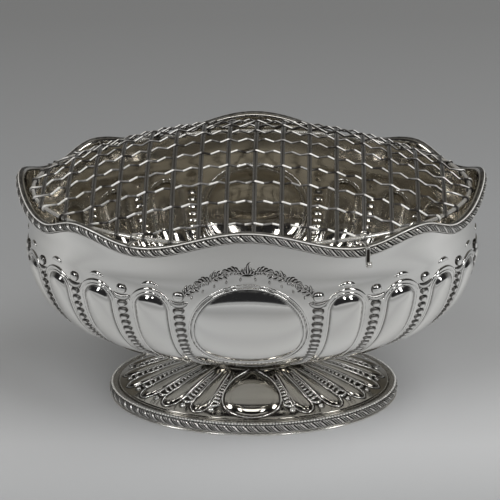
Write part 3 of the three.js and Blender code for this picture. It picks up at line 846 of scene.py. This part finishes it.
# a swept band whose outside is cut into leaning rounded teeth
def buildBand(band):
    halfLength, topAt, lean = band["halfLength"], band["topAt"], band["lean"]
    halfDepth = halfLength * sizes["depthRatio"]
    count = band["teeth"] * band["perTooth"]
    turns = np.append(evenAround(halfLength, halfDepth, count, topAt), 360.0)
    along = np.arange(count) / band["perTooth"]
    places, heights, shadeAndTarnish = zip(*toothShape)
    tooth, valley = np.interp(along % 1.0, places, heights), np.interp(along % 1.0, places, shadeAndTarnish)
    lowest = max(s[1] for s in band["section"])

    # the angle at a place counted in teeth
    def turnAt(u):
        return np.interp(u * band["perTooth"] % count, np.arange(count + 1), turns)

    def around(out, deg, drop):
        return onOval(halfLength + out, halfDepth + out, deg, topAt(deg) - drop)

    # each row is turned by the slant, so that the teeth follow the columns of the mesh
    rows, dark = [], []
    for out, drop, strength, tarnishAndShade in band["section"]:
        deg = turnAt(along + lean * drop / lowest)
        rows.append(around(out - strength * band["depth"] * (1 - tooth), deg, drop))
        dark.append(np.maximum(tarnishAndShade, strength * valley))
    shape = newShape()
    addRows(shape, np.array(rows), wrap=True, dark=np.array(dark))
    makePiece(band["name"], shape, "border", [band["node"]])

    # a painted highlight: the bright edge of each tooth runs down its side and along the foot of its face
    outs, drops = zip(*[s[:2] for s in band["section"] if s[2] > 0])
    start, end, wide, high = band["edge"]
    v = np.concatenate([np.linspace(start, end - 0.5, 6), [end - 0.15], np.full(4, end)])
    u = 0.05 + lean * v / lowest + np.concatenate([np.zeros(6), [0.06], [0.16, 0.4, 0.65, 0.86]])
    taper = np.array([0.35, 0.7, 0.9, 1, 1, 1, 1, 1.1, 1.1, 1.0, 0.5])
    out = np.interp(v, drops, outs)
    steep = (np.interp(v + 0.2, drops, outs) - out) / 0.2
    shape = newShape()
    for k in range(band["teeth"]):
        deg = turnAt(k + u)
        normals = unit(unit(onOval(halfDepth, halfLength, deg, 0)) + upward * steep[:, None])
        places = around(out, deg, v)
        addStrand(shape, places, normals, wide * taper, high * taper, sides=6, dark=0.9, crest=0.1)
    if band["wire"]:
        out, drop, wide, high = band["wire"]
        deg = turns[:-1:4]
        addStrand(shape, around(out, deg, drop), unit(onOval(0.6, 0.6, deg, 1)), wide, high, closed=True)
    makePiece(band["name"] + "_painted_highlight_edges", shape, "edge")


buildBand(rimBand)
buildBand(footBand)
print("gadroon borders done")

foot = {
    # nominal half length, height
    "profile": [
        (33.0, 34.4), (36.5, 34.0), (40.0, 33.2), (50, 30.6), (66, 26.2), (82, 20.6), (94, 15.6),
        (101, 12.3), (102.6, 11.55), (103.6, 11.2), (104, 10.6), (104, 6), (104, 1.9),
    ],
    "columns": 720,
    "rows": (78, 8),    # over the dome, down the skirt
    "sheet": 1.1,
    # half width of the pear-shaped lobe and of the flutes against the half length there
    "pear": [
        (40, 0), (44, 2.6), (48, 6), (55, 11.5), (62, 15.2), (69, 18), (76, 20), (81.5, 20.6), (88, 19.8),
        (93, 17.2), (96.5, 13), (99, 7.5), (100.3, 0),
    ],
    "flute": [
        (40, 0.9), (50, 1.9), (60, 2.9), (70, 3.9), (80, 5.0), (87, 5.9), (91, 6.2), (94, 5.7), (96.6, 4.1),
        (98, 2.2), (98.8, 0),
    ],
    "pearHeight": 2.1,
    "fluteHeight": 1.4,
    "leastSqueeze": 0.62,    # flutes get no narrower than this where the oval is tight
    # lines round them: gap, width, height, where they start, dark up to
    "pearLines": [(0.5, 1.6, 0.25, 41, 2), (1.9, 1.4, 0.9, 41, 0.2), (3.2, 1.5, 0.25, 41, 2)],
    "fluteLines": [(0.4, 1.2, 0.25, 46, 2), (1.5, 1.2, 0.8, 48, 0.2), (2.6, 1.2, 0.25, 50, 2)],
    "beads": [58, 60.8, 63.7, 66.8, 70.1, 73.6, 77.3, 81.2, 85.3],
    "beadShift": 1.4,        # degrees that the columns beside the pear-shaped lobe stand off it
    # half width of the dark ground that the beads lie in
    "ground": [(50, 1.2), (88, 4.0), (92, 5.2), (97, 3.0), (99, 0.0)],
    "cupAt": 92,
    "pelletAt": 95.6,
    "flange": [(-10, 0.0), (-1.4, 0.0), (-0.95, 0.1), (-0.8, 0.5), (-0.8, 1.1), (-0.95, 1.5), (-1.4, 1.75),
               (-10, 1.75)],
    "collar": [(-5, 34.3), (-0.9, 34.3), (0.3, 34.6), (0.9, 35.1), (1.1, 35.5), (0.9, 35.9), (0.3, 36.4),
               (-0.9, 36.8), (-5, 36.8)],
    "collarHalf": (38.8, 24.9),
    # half length and depth that the pearls are counted on and lie on, height, number
    "pearls": (109.6, 69.4, 109.3, 69.1, 9.35, 237),
}
footColumns = [beadPlaces[0] + foot["beadShift"], *beadPlaces[1:-1], beadPlaces[-1] - foot["beadShift"]]


def buildFootGrid():
    line = smoothLine(foot["profile"], count=1200)
    length = lengthAlong(line)
    outer = np.argmax(line[:, 0] > sizes["skirt"] - 0.2)
    edge = np.interp(sizes["skirt"] - 0.4, line[:outer, 0], length[:outer])
    dome, skirt = foot["rows"]
    rows = np.concatenate([np.linspace(0, edge, dome), np.linspace(edge + 0.6, length[-1], skirt)])
    r, z = (np.interp(rows, length, column) for column in line.T)
    deg = np.arange(foot["columns"]) * 360 / foot["columns"]
    # near its edge the dome draws in, to keep its distance from the border
    inset = (sizes["footHalfLength"] - sizes["skirt"]) * (1 - sizes["depthRatio"])
    depth = r * sizes["depthRatio"] - inset * smoothStep(r, 80, sizes["skirt"])
    points = onOval(r[:, None], depth[:, None], deg, z[:, None])
    normals, speed = gridShape(points)
    down = np.repeat(r[:, None], len(deg), axis=1)
    return {"deg": deg, "points": points, "down": down, "speed": speed, "normals": normals}


def footRelief(grid):
    deg, r, speed = grid["deg"][None, :], grid["down"][:, :1], grid["speed"]
    squeeze = speed / (r * np.pi / 180)
    wide = np.interp(r, *zip(*foot["flute"]), right=0)
    q = np.abs(offsetFrom(deg, lobePlaces)) * speed
    q /= np.maximum(wide * np.clip(squeeze, foot["leastSqueeze"], 1), 0.05)
    high = foot["fluteHeight"] * np.interp(wide, [0, 1, 3, 6], [0, 0.35, 0.75, 1])
    relief = high * np.clip(1 - q**3.4, 0, 1) ** 0.75
    dark = hump(q, 1.13, 0.13) * (wide > 0.5)
    pear = np.interp(r, *zip(*foot["pear"]), right=0)
    high = foot["pearHeight"] * np.interp(pear, [0, 3, 12, 20], [0, 0.3, 0.8, 1])
    for middle in (0, 180):
        x = np.abs(wrapped(deg - middle)) * speed
        relief += high * np.clip(1 - (x / np.maximum(pear, 0.05)) ** 3, 0, 1) ** 0.8
        dark = np.maximum(dark, 0.8 * hump(x - pear, 0.9, 0.7) * (pear > 0.5))
    # the bead columns lie in a dark ground that widens towards a pellet
    x = np.abs(offsetFrom(deg, footColumns)) * speed
    ground = np.interp(r, *zip(*foot["ground"]), left=0, right=0)
    darkening = smoothStep(x, ground * squeeze + 0.2, ground * squeeze - 0.6) * (ground > 0)
    dark = np.maximum(dark, 0.95 * darkening)
    return relief * smoothStep(r, 38, 46), dark * smoothStep(r, 101.5, 99.5)


footGrid = buildFootGrid()
footUp, footDark = footRelief(footGrid)
footOut = footGrid["points"] + footGrid["normals"] * footUp[..., None]
footIn = footGrid["points"] - footGrid["normals"] * foot["sheet"]
keep = np.r_[0 : len(footIn) - 1 : 3, len(footIn) - 1]
shape = newShape()
addRows(shape, np.concatenate([footOut, footIn[keep][::-1]]), wrap=True,
        dark=np.concatenate([footDark, 0 * footDark[keep]]))
makePiece("foot_body", shape, "foot", ["foot_dome"])
# on the foot, the distance down is the nominal half length, which grows as far as the skirt
footSurface = makeSurface(footGrid, footOut)
footSurface = {key: rows[: foot["rows"][0] + 2] for key, rows in footSurface.items()}


# how much shorter a degree is on the oval foot than on a circle
def footSqueeze(deg, r):
    return speedAt(footSurface, deg, r) / (r * math.pi / 180)


def buildFootOrnament():
    ridges, beads = newShape(), newShape()

    # a line round a flute or the pear-shaped lobe, at a gap from its edge
    def outline(middle, kind, gap, width, height, start, crest):
        line = smoothLine(foot[kind], count=60)
        line = line[line[:, 0] > start]
        way = unit(np.gradient(line, axis=0))
        line = line + np.column_stack([way[:, 1], -way[:, 0]]) * -gap
        first = int(np.argmax(line[:, 1] > 0))
        if first:
            here, after = line[first], line[first + 1]
            meet = here - (after - here) * here[1] / (after[1] - here[1])
            line = np.concatenate([[[meet[0], 0.0]], line[first:]])
        line = line[: np.argmax(line[:, 0]) + 1]
        line[:, 1] = np.maximum(line[:, 1], 0)
        both = np.concatenate([line, line[::-1] * [[1, -1]]])
        degs = []
        for r, w in both:
            squeeze = 1 if kind == "pear" else np.clip(footSqueeze(middle, r), foot["leastSqueeze"], 1)
            degs.append(middle + w * squeeze / speedAt(footSurface, middle, r))
        layStrand(ridges, footSurface, degs, both[:, 0], width, height, dark=1.0, crest=crest)

    for kind, middles in (("flute", lobeMiddles), ("pear", (0, 180))):
        for middle in middles:
            for line in foot[kind + "Lines"]:
                outline(middle, kind, *line)
    for at in [s * a for s in (1, -1) for a in footColumns]:
        for i, r in enumerate(foot["beads"]):
            share = i / (len(foot["beads"]) - 1)
            wide = (1.1 + 2.2 * share) * min(1.0, footSqueeze(at, r))
            layBead(beads, footSurface, at, r, onOval(1, sizes["depthRatio"], at, -0.35), wide,
                    0.75 + 0.55 * share, 0.8 + 0.6 * share, dark=0.6, sag=-0.35)
        # a crescent and a pellet end the column, and a thin line runs down each side of it
        squeeze = min(1.0, footSqueeze(at, foot["cupAt"]))
        u = np.linspace(-1, 1, 15)
        full = 1 - u**2
        degs = at + np.sin(u * 1.2) * 4.6 * squeeze / speedAt(footSurface, at, foot["cupAt"])
        layStrand(beads, footSurface, degs, 87.6 + 3.4 * np.cos(u * 1.3), 0.3 + 2.4 * full**0.8,
                  0.2 + 1.1 * full**0.7, dark=0.8)
        out = onOval(1, 1, at, 0)
        layBead(beads, footSurface, at, foot["pelletAt"], out, 2.5 * squeeze, 1.9, 1.4, dark=0.8)
        r = np.linspace(50, 90, 24)
        speeds = np.array([speedAt(footSurface, at, v) for v in r])
        gap = np.interp(r, [50, 90], [1.2, 4.3]) * squeeze / speeds
        width = np.interp(r, [50, 90], [0.5, 0.8])
        for side in (-1, 1):
            layStrand(ridges, footSurface, at + side * gap, r, width, 0.4, sides=6, dark=0.5)
    makePiece("foot_ridges", ridges, "bowl")
    makePiece("foot_beads", beads, "bowl")


def buildFootTrim():
    deg = np.arange(360)

    def ring(name, section, halfLength, halfDepth, dark, node):
        shape = newShape()
        rows = [onOval(halfLength + out, halfDepth + out, deg, z) for out, z in section]
        addRows(shape, np.array(rows), wrap=True, dark=dark)
        makePiece(name, shape, "border", [node])

    halfLength = sizes["footHalfLength"]
    halfDepth = halfLength * sizes["depthRatio"]
    ring("foot_flange_smooth", foot["flange"], halfLength, halfDepth, 0.0, "foot_flange")
    ring("foot_neck_ring", foot["collar"], *foot["collarHalf"], 0.2, "foot_collar")
    shape = newShape()
    *counted, halfLength, halfDepth, height, number = foot["pearls"]
    # the pearls keep bright tops as painted highlights, with painted shade below
    for turn in evenAround(*counted, number):
        place = onOval(halfLength, halfDepth, turn, height)
        addBead(shape, place, upward, onOval(1, 1, turn, 0), 1.0, 1.0, 1.1, dark=0.8)
    makePiece("foot_pearls", shape, "edge")


buildFootOrnament()
buildFootTrim()
print("foot done")

grille = {
    "halfLength": 162.5,
    "halfDepth": 101.5,
    "height": 174.5,
    "rodRadius": 1.6,
    "rise": 41.0,
    "stripShift": 4.2,
    "stripCount": 16,
    "stripWidth": 3.3,
    "stripThick": 0.85,
    "ripple": 0.05,    # how far a strip bends under and over the wires
    "rollGap": 0.12,   # between a strip's rolled end and the rod
    "rollTurn": (75, -150),    # angles between which it goes round the rod
    "hookAngle": 30,
    "hookRoom": 4.3,   # a strip this near to a hook's middle is cut short,
    "cutBack": 4.6,    # by this much
    "rowCount": 12,
    "wireWidth": 1.7,
    "wireThick": 1.4,
    "wireRadius": 0.75,
    "wireStop": 3,     # the crimps end this far from the rod
    "wireTurn": (110, -215),    # angles between which a wire goes round the rod
    "wireDrift": 1.5,  # of that turn, along the rod
    "crimp": 1.2,      # how far a wire rises and falls, three times in each gap between strips
    "crimpRange": (-60, 120),    # crimps tried along a wire, counted from the first strip
    "draws": 160,      # random numbers for a wire, one for each of its crimps,
    "firstDraw": 64,   # with this one at the first strip
}
stripPitch = grille["halfLength"] / 8.25
crimpPitch = stripPitch / 3
rowPitch = grille["halfDepth"] / 6.385
stripPlaces = [grille["stripShift"] + (i - 8) * stripPitch for i in range(grille["stripCount"])]
rowPlaces = [(i - (grille["rowCount"] - 1) / 2) * rowPitch for i in range(grille["rowCount"])]


def domeHeight(x, y):
    share = 1 - (x / grille["halfLength"]) ** 2 - (y / grille["halfDepth"]) ** 2
    return grille["height"] + grille["rise"] * share


def domeNormal(x, y):
    nx = 2 * grille["rise"] * x / grille["halfLength"] ** 2
    ny = 2 * grille["rise"] * y / grille["halfDepth"] ** 2
    return unit(np.stack(np.broadcast_arrays(nx, ny, 1.0), axis=-1))


# cuts the corners of a path into short bends
def easeCorners(path, reach, steps=3):
    out = [path[0]]
    for before, here, after in zip(path, path[1:], path[2:]):
        a, b = before - here, after - here
        la, lb = np.linalg.norm(a), np.linalg.norm(b)
        cut = min(reach, la * 0.45, lb * 0.45)
        p, q = here + a / la * cut, here + b / lb * cut
        for u in np.linspace(0, 1, steps + 1):
            out.append((1 - u) ** 2 * p + 2 * u * (1 - u) * here + u**2 * q)
    return np.array([*out, path[-1]])


# a bar along a path; its section, in shares of half its width and thickness, lies in the side
# and up directions
def addBar(shape, path, sides, section, width, thick, dark=0.0):
    along = unit(np.gradient(path, axis=0))
    side = unit(sides - along * np.sum(sides * along, axis=1, keepdims=True))
    up = unit(np.cross(side, along))
    x, y = section[None, :, :1] * width / 2, section[None, :, 1:] * thick / 2
    addRows(shape, path[:, None, :] + side[:, None, :] * x + up[:, None, :] * y, dark=dark)


# a flat bar with a dark groove along its face
grooved = np.array([
    (-1, -0.6), (-0.8, -1), (0.8, -1), (1, -0.6), (1, 0.35), (0.85, 0.85), (0.55, 1), (0.28, 0.75),
    (0, 0.1), (-0.28, 0.75), (-0.55, 1), (-0.85, 0.85), (-1, 0.35),
])
grooveDark = np.array([0, 0, 0, 0, 0, 0, 0, 0.4, 0.9, 0.4, 0, 0, 0])
rounded = np.stack([cosOf(np.arange(0, 360, 30)), sinOf(np.arange(0, 360, 30))], axis=1)
wireUnderShade = 1.0 * (rounded[:, 1] < 0.1)    # painted shade: a wire is dark but for its upper side


def buildStrips():
    shape = newShape()
    roll = grille["rodRadius"] + grille["stripThick"] / 2 + grille["rollGap"]
    hookX = grille["halfLength"] * sinOf(grille["hookAngle"])
    for index, x in enumerate(stripPlaces):
        reach = grille["halfDepth"] * math.sqrt(1 - (x / grille["halfLength"]) ** 2)
        slope = (grille["halfDepth"] / grille["halfLength"]) ** 2 * abs(x) / reach
        cut = abs(abs(x) - hookX) < grille["hookRoom"]
        wide = roll * math.hypot(1, slope)
        top = reach - (grille["cutBack"] if cut else wide * 0.9)
        y = np.linspace(-top, top, 48)
        ripple = -grille["ripple"] * (-1) ** index * np.cos(np.pi * (y - rowPlaces[0]) / rowPitch)
        path = np.column_stack([np.full(len(y), x), y, domeHeight(x, y) + ripple])
        path[[0, -1], 2] = max(path[0, 2], grille["height"] + roll * 0.85)
        if not cut:
            turn = np.linspace(*grille["rollTurn"], 12)
            end = np.column_stack([
                np.full(len(turn), x), reach + wide * cosOf(turn), grille["height"] + roll * sinOf(turn)])
            path = np.concatenate([(end * [1, -1, 1])[::-1], path, end])
        tilt = -2 * grille["rise"] * x / grille["halfLength"] ** 2
        sides = np.tile([1.0, 0, tilt], (len(path), 1))
        sides[np.abs(path[:, 1]) > top] = [1, 0, 0]
        addBar(shape, path, sides, grooved, grille["stripWidth"], grille["stripThick"], dark=grooveDark)
    names = [f"grille_strip_{i + 1:02d}" for i in range(grille["stripCount"])]
    makePiece("grille_strips_grooved", shape, "strip", names, body="grille")


def buildWires():
    shape = newShape()
    chance = np.random.default_rng(7)
    for row, y in enumerate(rowPlaces):
        reach = grille["halfLength"] * math.sqrt(1 - (y / grille["halfDepth"]) ** 2)
        slope = (grille["halfLength"] / grille["halfDepth"]) ** 2 * abs(y) / reach
        stop = reach - grille["rodRadius"] - grille["wireRadius"] - grille["wireStop"]
        # over one strip and under the next, with one more rise and fall between them
        k = np.arange(*grille["crimpRange"])
        k = k[np.abs(stripPlaces[0] + k * crimpPitch) <= stop]
        x = stripPlaces[0] + k * crimpPitch
        over = grille["crimp"] * np.where((k + row) % 2 == 0, 1, -1)
        path = np.column_stack([x, np.full(len(x), y), domeHeight(x, y)]) + domeNormal(x, y) * over[:, None]
        # each end is wound once round the rod
        r = grille["rodRadius"] + grille["wireRadius"] * 0.85
        start, end = grille["wireTurn"]
        turn = np.linspace(start, end, 16)[:, None]
        for side in (-1, 1):
            across = unit(np.array([side, math.copysign(slope, y), 0]))
            tangent = np.array([-across[1], across[0], 0])
            drift = (start - turn) / (start - end) * grille["wireDrift"] * side
            loop = np.array([side * reach, y, grille["height"]]) + tangent * drift
            loop = loop + across * r * cosOf(turn) + upward * r * sinOf(turn)
            path = np.concatenate([loop[::-1], path] if side < 0 else [path, loop])
        path = easeCorners(path, 1.2)
        sides = np.tile([0, -1.0, 0], (len(path), 1))
        along = unit(np.gradient(path, axis=0))
        for k in range(1, len(path)):
            s = sides[k - 1] - along[k] * np.dot(sides[k - 1], along[k])
            sides[k] = s / max(np.linalg.norm(s), 1e-6)
        # painted highlight on the faces turned outwards, painted shade on the others, a little different on
        # each face
        part = np.floor((path[:, 0] - stripPlaces[0]) / crimpPitch).astype(int) + grille["firstDraw"]
        litFacet = ((part + row) % 2 == 0) == (path[:, 0] > 0)
        luck = chance.random(grille["draws"])[part]
        darkening = np.where(litFacet, 0.7 * luck**3, 0.68 + 0.2 * luck)
        dark = np.maximum(wireUnderShade[None, :], darkening[:, None])
        addBar(shape, path, sides, rounded, grille["wireWidth"], grille["wireThick"], dark=dark)
    names = [f"grille_wire_{i + 1:02d}" for i in range(grille["rowCount"])]
    makePiece("grille_wires_crimped", shape, "wire", names, body="grille")


def buildRod():
    shape = newShape()
    deg = np.arange(360)
    rows = []
    for turn in range(0, 360, 30):
        out, z = grille["rodRadius"] * cosOf(turn), grille["height"] + grille["rodRadius"] * sinOf(turn)
        rows.append(onOval(grille["halfLength"] + out, grille["halfDepth"] + out, deg, z))
    addRows(shape, np.array(rows), wrap=True)
    makePiece("grille_rod", shape, "fitting", ["grille_frame"], body="grille")


hooks = {
    "width": 3.4,
    "thick": 1.2,
    "roll": 2.5,
    "leg": 11.9,
    "drop": 13.5,
    # name, angle, whether it is long
    "spots": [("hook_front_left", -30, False), ("hook_front_right", 30, True),
              ("hook_back_left", -150, True), ("hook_back_right", 150, True)],
    # out and up from the rod: over the lip, counted from the leg, and the curl at the foot of the leg
    "bend": [(-1.9, -1.8), (-0.5, -2.5), (0, -4.6), (0, -9)],
    "curl": [(0, 0), (0.45, -1.9), (1.7, -3.1), (3.2, -2.9), (4.2, -1.6), (3.9, -0.1), (2.9, 0.5)],
    "shortEnd": [(-2.7, -1.8), (-0.9, -1.9)],
    # painted shade makes the leg's groove black, and its bends and its curl are left bright as painted
    # highlights
    "legShade": [0.2, 0.9, 1, 1, 1, 0.9, 0.2],
    "legFrom": 1.6,    # how far short of the leg the paint begins
}


def buildHooks():
    roll, leg, drop = hooks["roll"], hooks["leg"], hooks["drop"]
    for name, deg, long in hooks["spots"]:
        base = onOval(grille["halfLength"], grille["halfDepth"], deg, grille["height"])
        out = unit(onOval(1 / grille["halfLength"], 1 / grille["halfDepth"], deg, 0))
        line = [(roll * cosOf(turn), roll * sinOf(turn)) for turn in range(20, 252, 20)]
        line += [(0.8, -roll * 0.98), (4, -1.8)]
        line += [(leg + x, z) for x, z in hooks["bend" if long else "shortEnd"]]
        if long:
            line += [(leg + x, z - drop) for x, z in hooks["curl"]]
        line = smoothLine(line, count=64 if long else 36)
        path = base + out * line[:, :1] + upward * line[:, 1:]
        sides = np.tile([out[1], -out[0], 0], (len(path), 1))
        dark = np.tile(grooveDark, (len(path), 1))
        # painted shade down the leg, lighter at the bends and the curl as painted highlights
        down = np.interp(line[:, 1], [-drop - 0.8, -drop, -4.2, -3.4, -2.4, -1.9], [0.2, 1, 1, 0.2, 0.2, 1])
        onLeg = line[:, :1] > leg - hooks["legFrom"]
        dark[:, 5:12] = np.where(onLeg, hooks["legShade"], dark[:, 5:12])
        dark[:, [0, 3, 4, 12]] = np.where(onLeg, 0.6, 0)
        dark *= np.where(onLeg, down[:, None], 1)
        shape = newShape()
        addBar(shape, path, sides, grooved, hooks["width"], hooks["thick"], dark=dark)
        makePiece(name + "_strap", shape, "fitting", [name], body=name)


buildStrips()
buildWires()
buildRod()
buildHooks()
print("grille and hooks done")

studio = {
    "floorHalf": 1.5,
    # colour of the paper floor from front to back, in metres; it paints pools of light and bands of shadow
    "floor": [(-1.5, (0.45, 0.455, 0.46)), (-0.8, (0.3, 0.305, 0.31)), (-0.45, (0.25, 0.254, 0.257)),
              (-0.35, (0.3, 0.304, 0.307)), (-0.27, (0.37, 0.375, 0.38)), (-0.21, (0.39, 0.395, 0.4)),
              (-0.17, (0.36, 0.365, 0.37)), (-0.08, (0.48, 0.485, 0.49)),
              (0.0, (0.46, 0.465, 0.47)), (0.1, (0.4, 0.405, 0.41)), (0.22, (0.33, 0.335, 0.34)),
              (0.4, (0.285, 0.29, 0.295)), (0.8, (0.25, 0.253, 0.255)), (1.5, (0.28, 0.283, 0.285))],
    # colour of the room against the sine of the height above the horizon, in front and behind
    "front": [(-0.015, (0.33, 0.333, 0.335)), (0.0, (0.02, 0.02, 0.021)), (0.6, (0.016, 0.016, 0.017)),
              (0.78, (0.06, 0.056, 0.048)), (0.9, (0.15, 0.14, 0.118)), (1.0, (0.22, 0.206, 0.174))],
    "behind": [(-0.015, (0.2, 0.203, 0.205)), (0.0, (0.22, 0.223, 0.225)), (0.16, (0.2, 0.2, 0.197)),
               (0.3, (0.115, 0.11, 0.1)), (0.5, (0.09, 0.084, 0.072)), (0.8, (0.16, 0.149, 0.126)),
               (1.0, (0.22, 0.206, 0.174))],
    "roomStrength": 1.0,
    "turn": (-0.1, 0.55),    # where the front of the room passes into the back
    # place, where it looks, width, height, power, shows in the silver
    "lamps": [
        ((-1.3, -0.9, 2.2), (0, 0, 0), 2.0, 2.0, 28, False),
        ((1.5, -0.5, 2.2), (0, 0, 0), 2.0, 2.0, 49, False),
        ((0.0, -1.35, 1.62), (0, 0, 0.1), 0.9, 0.16, 1.3, True),
        ((1.5, -1.3, 1.2), (0, 0, 0.15), 0.3, 1.0, 6.5, True),
        ((-1.5, -1.3, 1.3), (0, 0, 0.15), 0.3, 1.0, 6.0, True),
        ((0.62, -1.8, 1.45), (0, 0, 0.15), 0.22, 0.6, 3.2, True),
        ((-0.75, -1.7, 1.7), (0, 0, 0.15), 0.22, 0.6, 3.2, True),
    ],
}


def buildStudio():
    half = studio["floorHalf"]
    corners = [(-half, -half, 0), (half, -half, 0), (half, half, 0), (-half, half, 0)]
    mesh = bpy.data.meshes.new("floor")
    mesh.from_pydata(corners, [], [(0, 1, 2, 3)])
    floor = bpy.data.objects.new("floor", mesh)
    scene.collection.objects.link(floor)
    mat = bpy.data.materials.new("floor_paper_painted_light")
    world = bpy.data.worlds.new("studio")
    scene.world = world
    mat.use_nodes = world.use_nodes = True

    # a share from 0 to 1 of the way along one axis
    def spread(tree, coordinate, axis, first, last, **settings):
        place = addNode(tree, "ShaderNodeTexCoord", coordinate)
        value = addNode(tree, "ShaderNodeSeparateXYZ", axis, {"Vector": place})
        inputs = {"Value": value, "From Min": first, "From Max": last}
        return addNode(tree, "ShaderNodeMapRange", "Result", inputs, **settings)

    def coloured(tree, coordinate, axis, reach, stops):
        share = spread(tree, coordinate, axis, -reach, reach)
        colour = addNode(tree, "ShaderNodeValToRGB", "Color", {"Fac": share})
        elements = colour.node.color_ramp.elements
        elements.remove(elements[0])
        for k, (at, value) in enumerate(stops):
            place = (at / reach + 1) / 2
            stop = elements.new(place) if k else elements[0]
            stop.position, stop.color = place, (*value, 1)
        return colour

    # the floor's colour ramp holds painted pools of light and painted shadow
    setInputs(mat.node_tree, mat.node_tree.nodes["Principled BSDF"], {
        "Roughness": 0.85,
        "Specular IOR Level": 0.2,
        "Base Color": coloured(mat.node_tree, "Object", "Y", half, studio["floor"]),
    })
    mesh.materials.append(mat)

    # the room, seen in the silver, changes softly from its front to its back
    tree = world.node_tree
    inputs = {
        "Factor": spread(tree, "Generated", "Y", *studio["turn"], interpolation_type="SMOOTHSTEP"),
        "A": coloured(tree, "Generated", "Z", 1, studio["front"]),
        "B": coloured(tree, "Generated", "Z", 1, studio["behind"]),
    }
    room = addNode(tree, "ShaderNodeMix", "Result", inputs, data_type="RGBA")
    setInputs(tree, tree.nodes["Background"], {"Color": room, "Strength": studio["roomStrength"]})

    for k, (spot, aim, wide, high, power, shows) in enumerate(studio["lamps"]):
        lamp = bpy.data.lights.new(f"softbox_{k + 1}", "AREA")
        lamp.shape = "RECTANGLE"
        lamp.size, lamp.size_y, lamp.energy = wide, high, power
        holder = bpy.data.objects.new(lamp.name, lamp)
        holder.location = spot
        holder.visible_glossy = shows
        holder.rotation_mode = "QUATERNION"
        holder.rotation_quaternion = (Vector(spot) - Vector(aim)).to_track_quat("Z", "Y")
        scene.collection.objects.link(holder)


view = {
    "aim": (0.0, 0.0, 0.095),
    "distance": 1.9,
    "elevation": 26.95,
    "azimuth": 1.73,
    "roll": -0.71,
    "focal": 180.33,
    "sensor": 36,
    # where the aimed point falls, in pixels of the 500 wide picture
    "pixel": (252.0, 281.1),
    "picture": 500,
}


def buildCamera():
    camera = bpy.data.cameras.new("camera")
    camera.lens, camera.sensor_width = view["focal"], view["sensor"]
    camera.clip_start, camera.clip_end = 0.1, 30
    holder = bpy.data.objects.new("camera", camera)
    scene.collection.objects.link(holder)
    a, e = math.radians(view["azimuth"]), math.radians(view["elevation"])
    back = Vector((math.sin(a) * math.cos(e), -math.cos(a) * math.cos(e), math.sin(e)))
    holder.location = Vector(view["aim"]) + back * view["distance"]
    right = Vector((math.cos(a), math.sin(a), 0))
    up = right.cross(-back)
    # the picture's centre looks a little beside the aimed point
    pixels = view["focal"] / view["sensor"] * view["picture"]
    x, y = (place - view["picture"] / 2 for place in view["pixel"])
    look = -back * pixels - right * x + up * y
    turn = Quaternion((0, 0, 1), math.radians(view["roll"]))
    holder.rotation_mode = "QUATERNION"
    holder.rotation_quaternion = look.to_track_quat("-Z", "Y") @ turn
    scene.camera = holder


buildStudio()
buildCamera()
scene.view_settings.view_transform = "Standard"
print("studio and camera done")
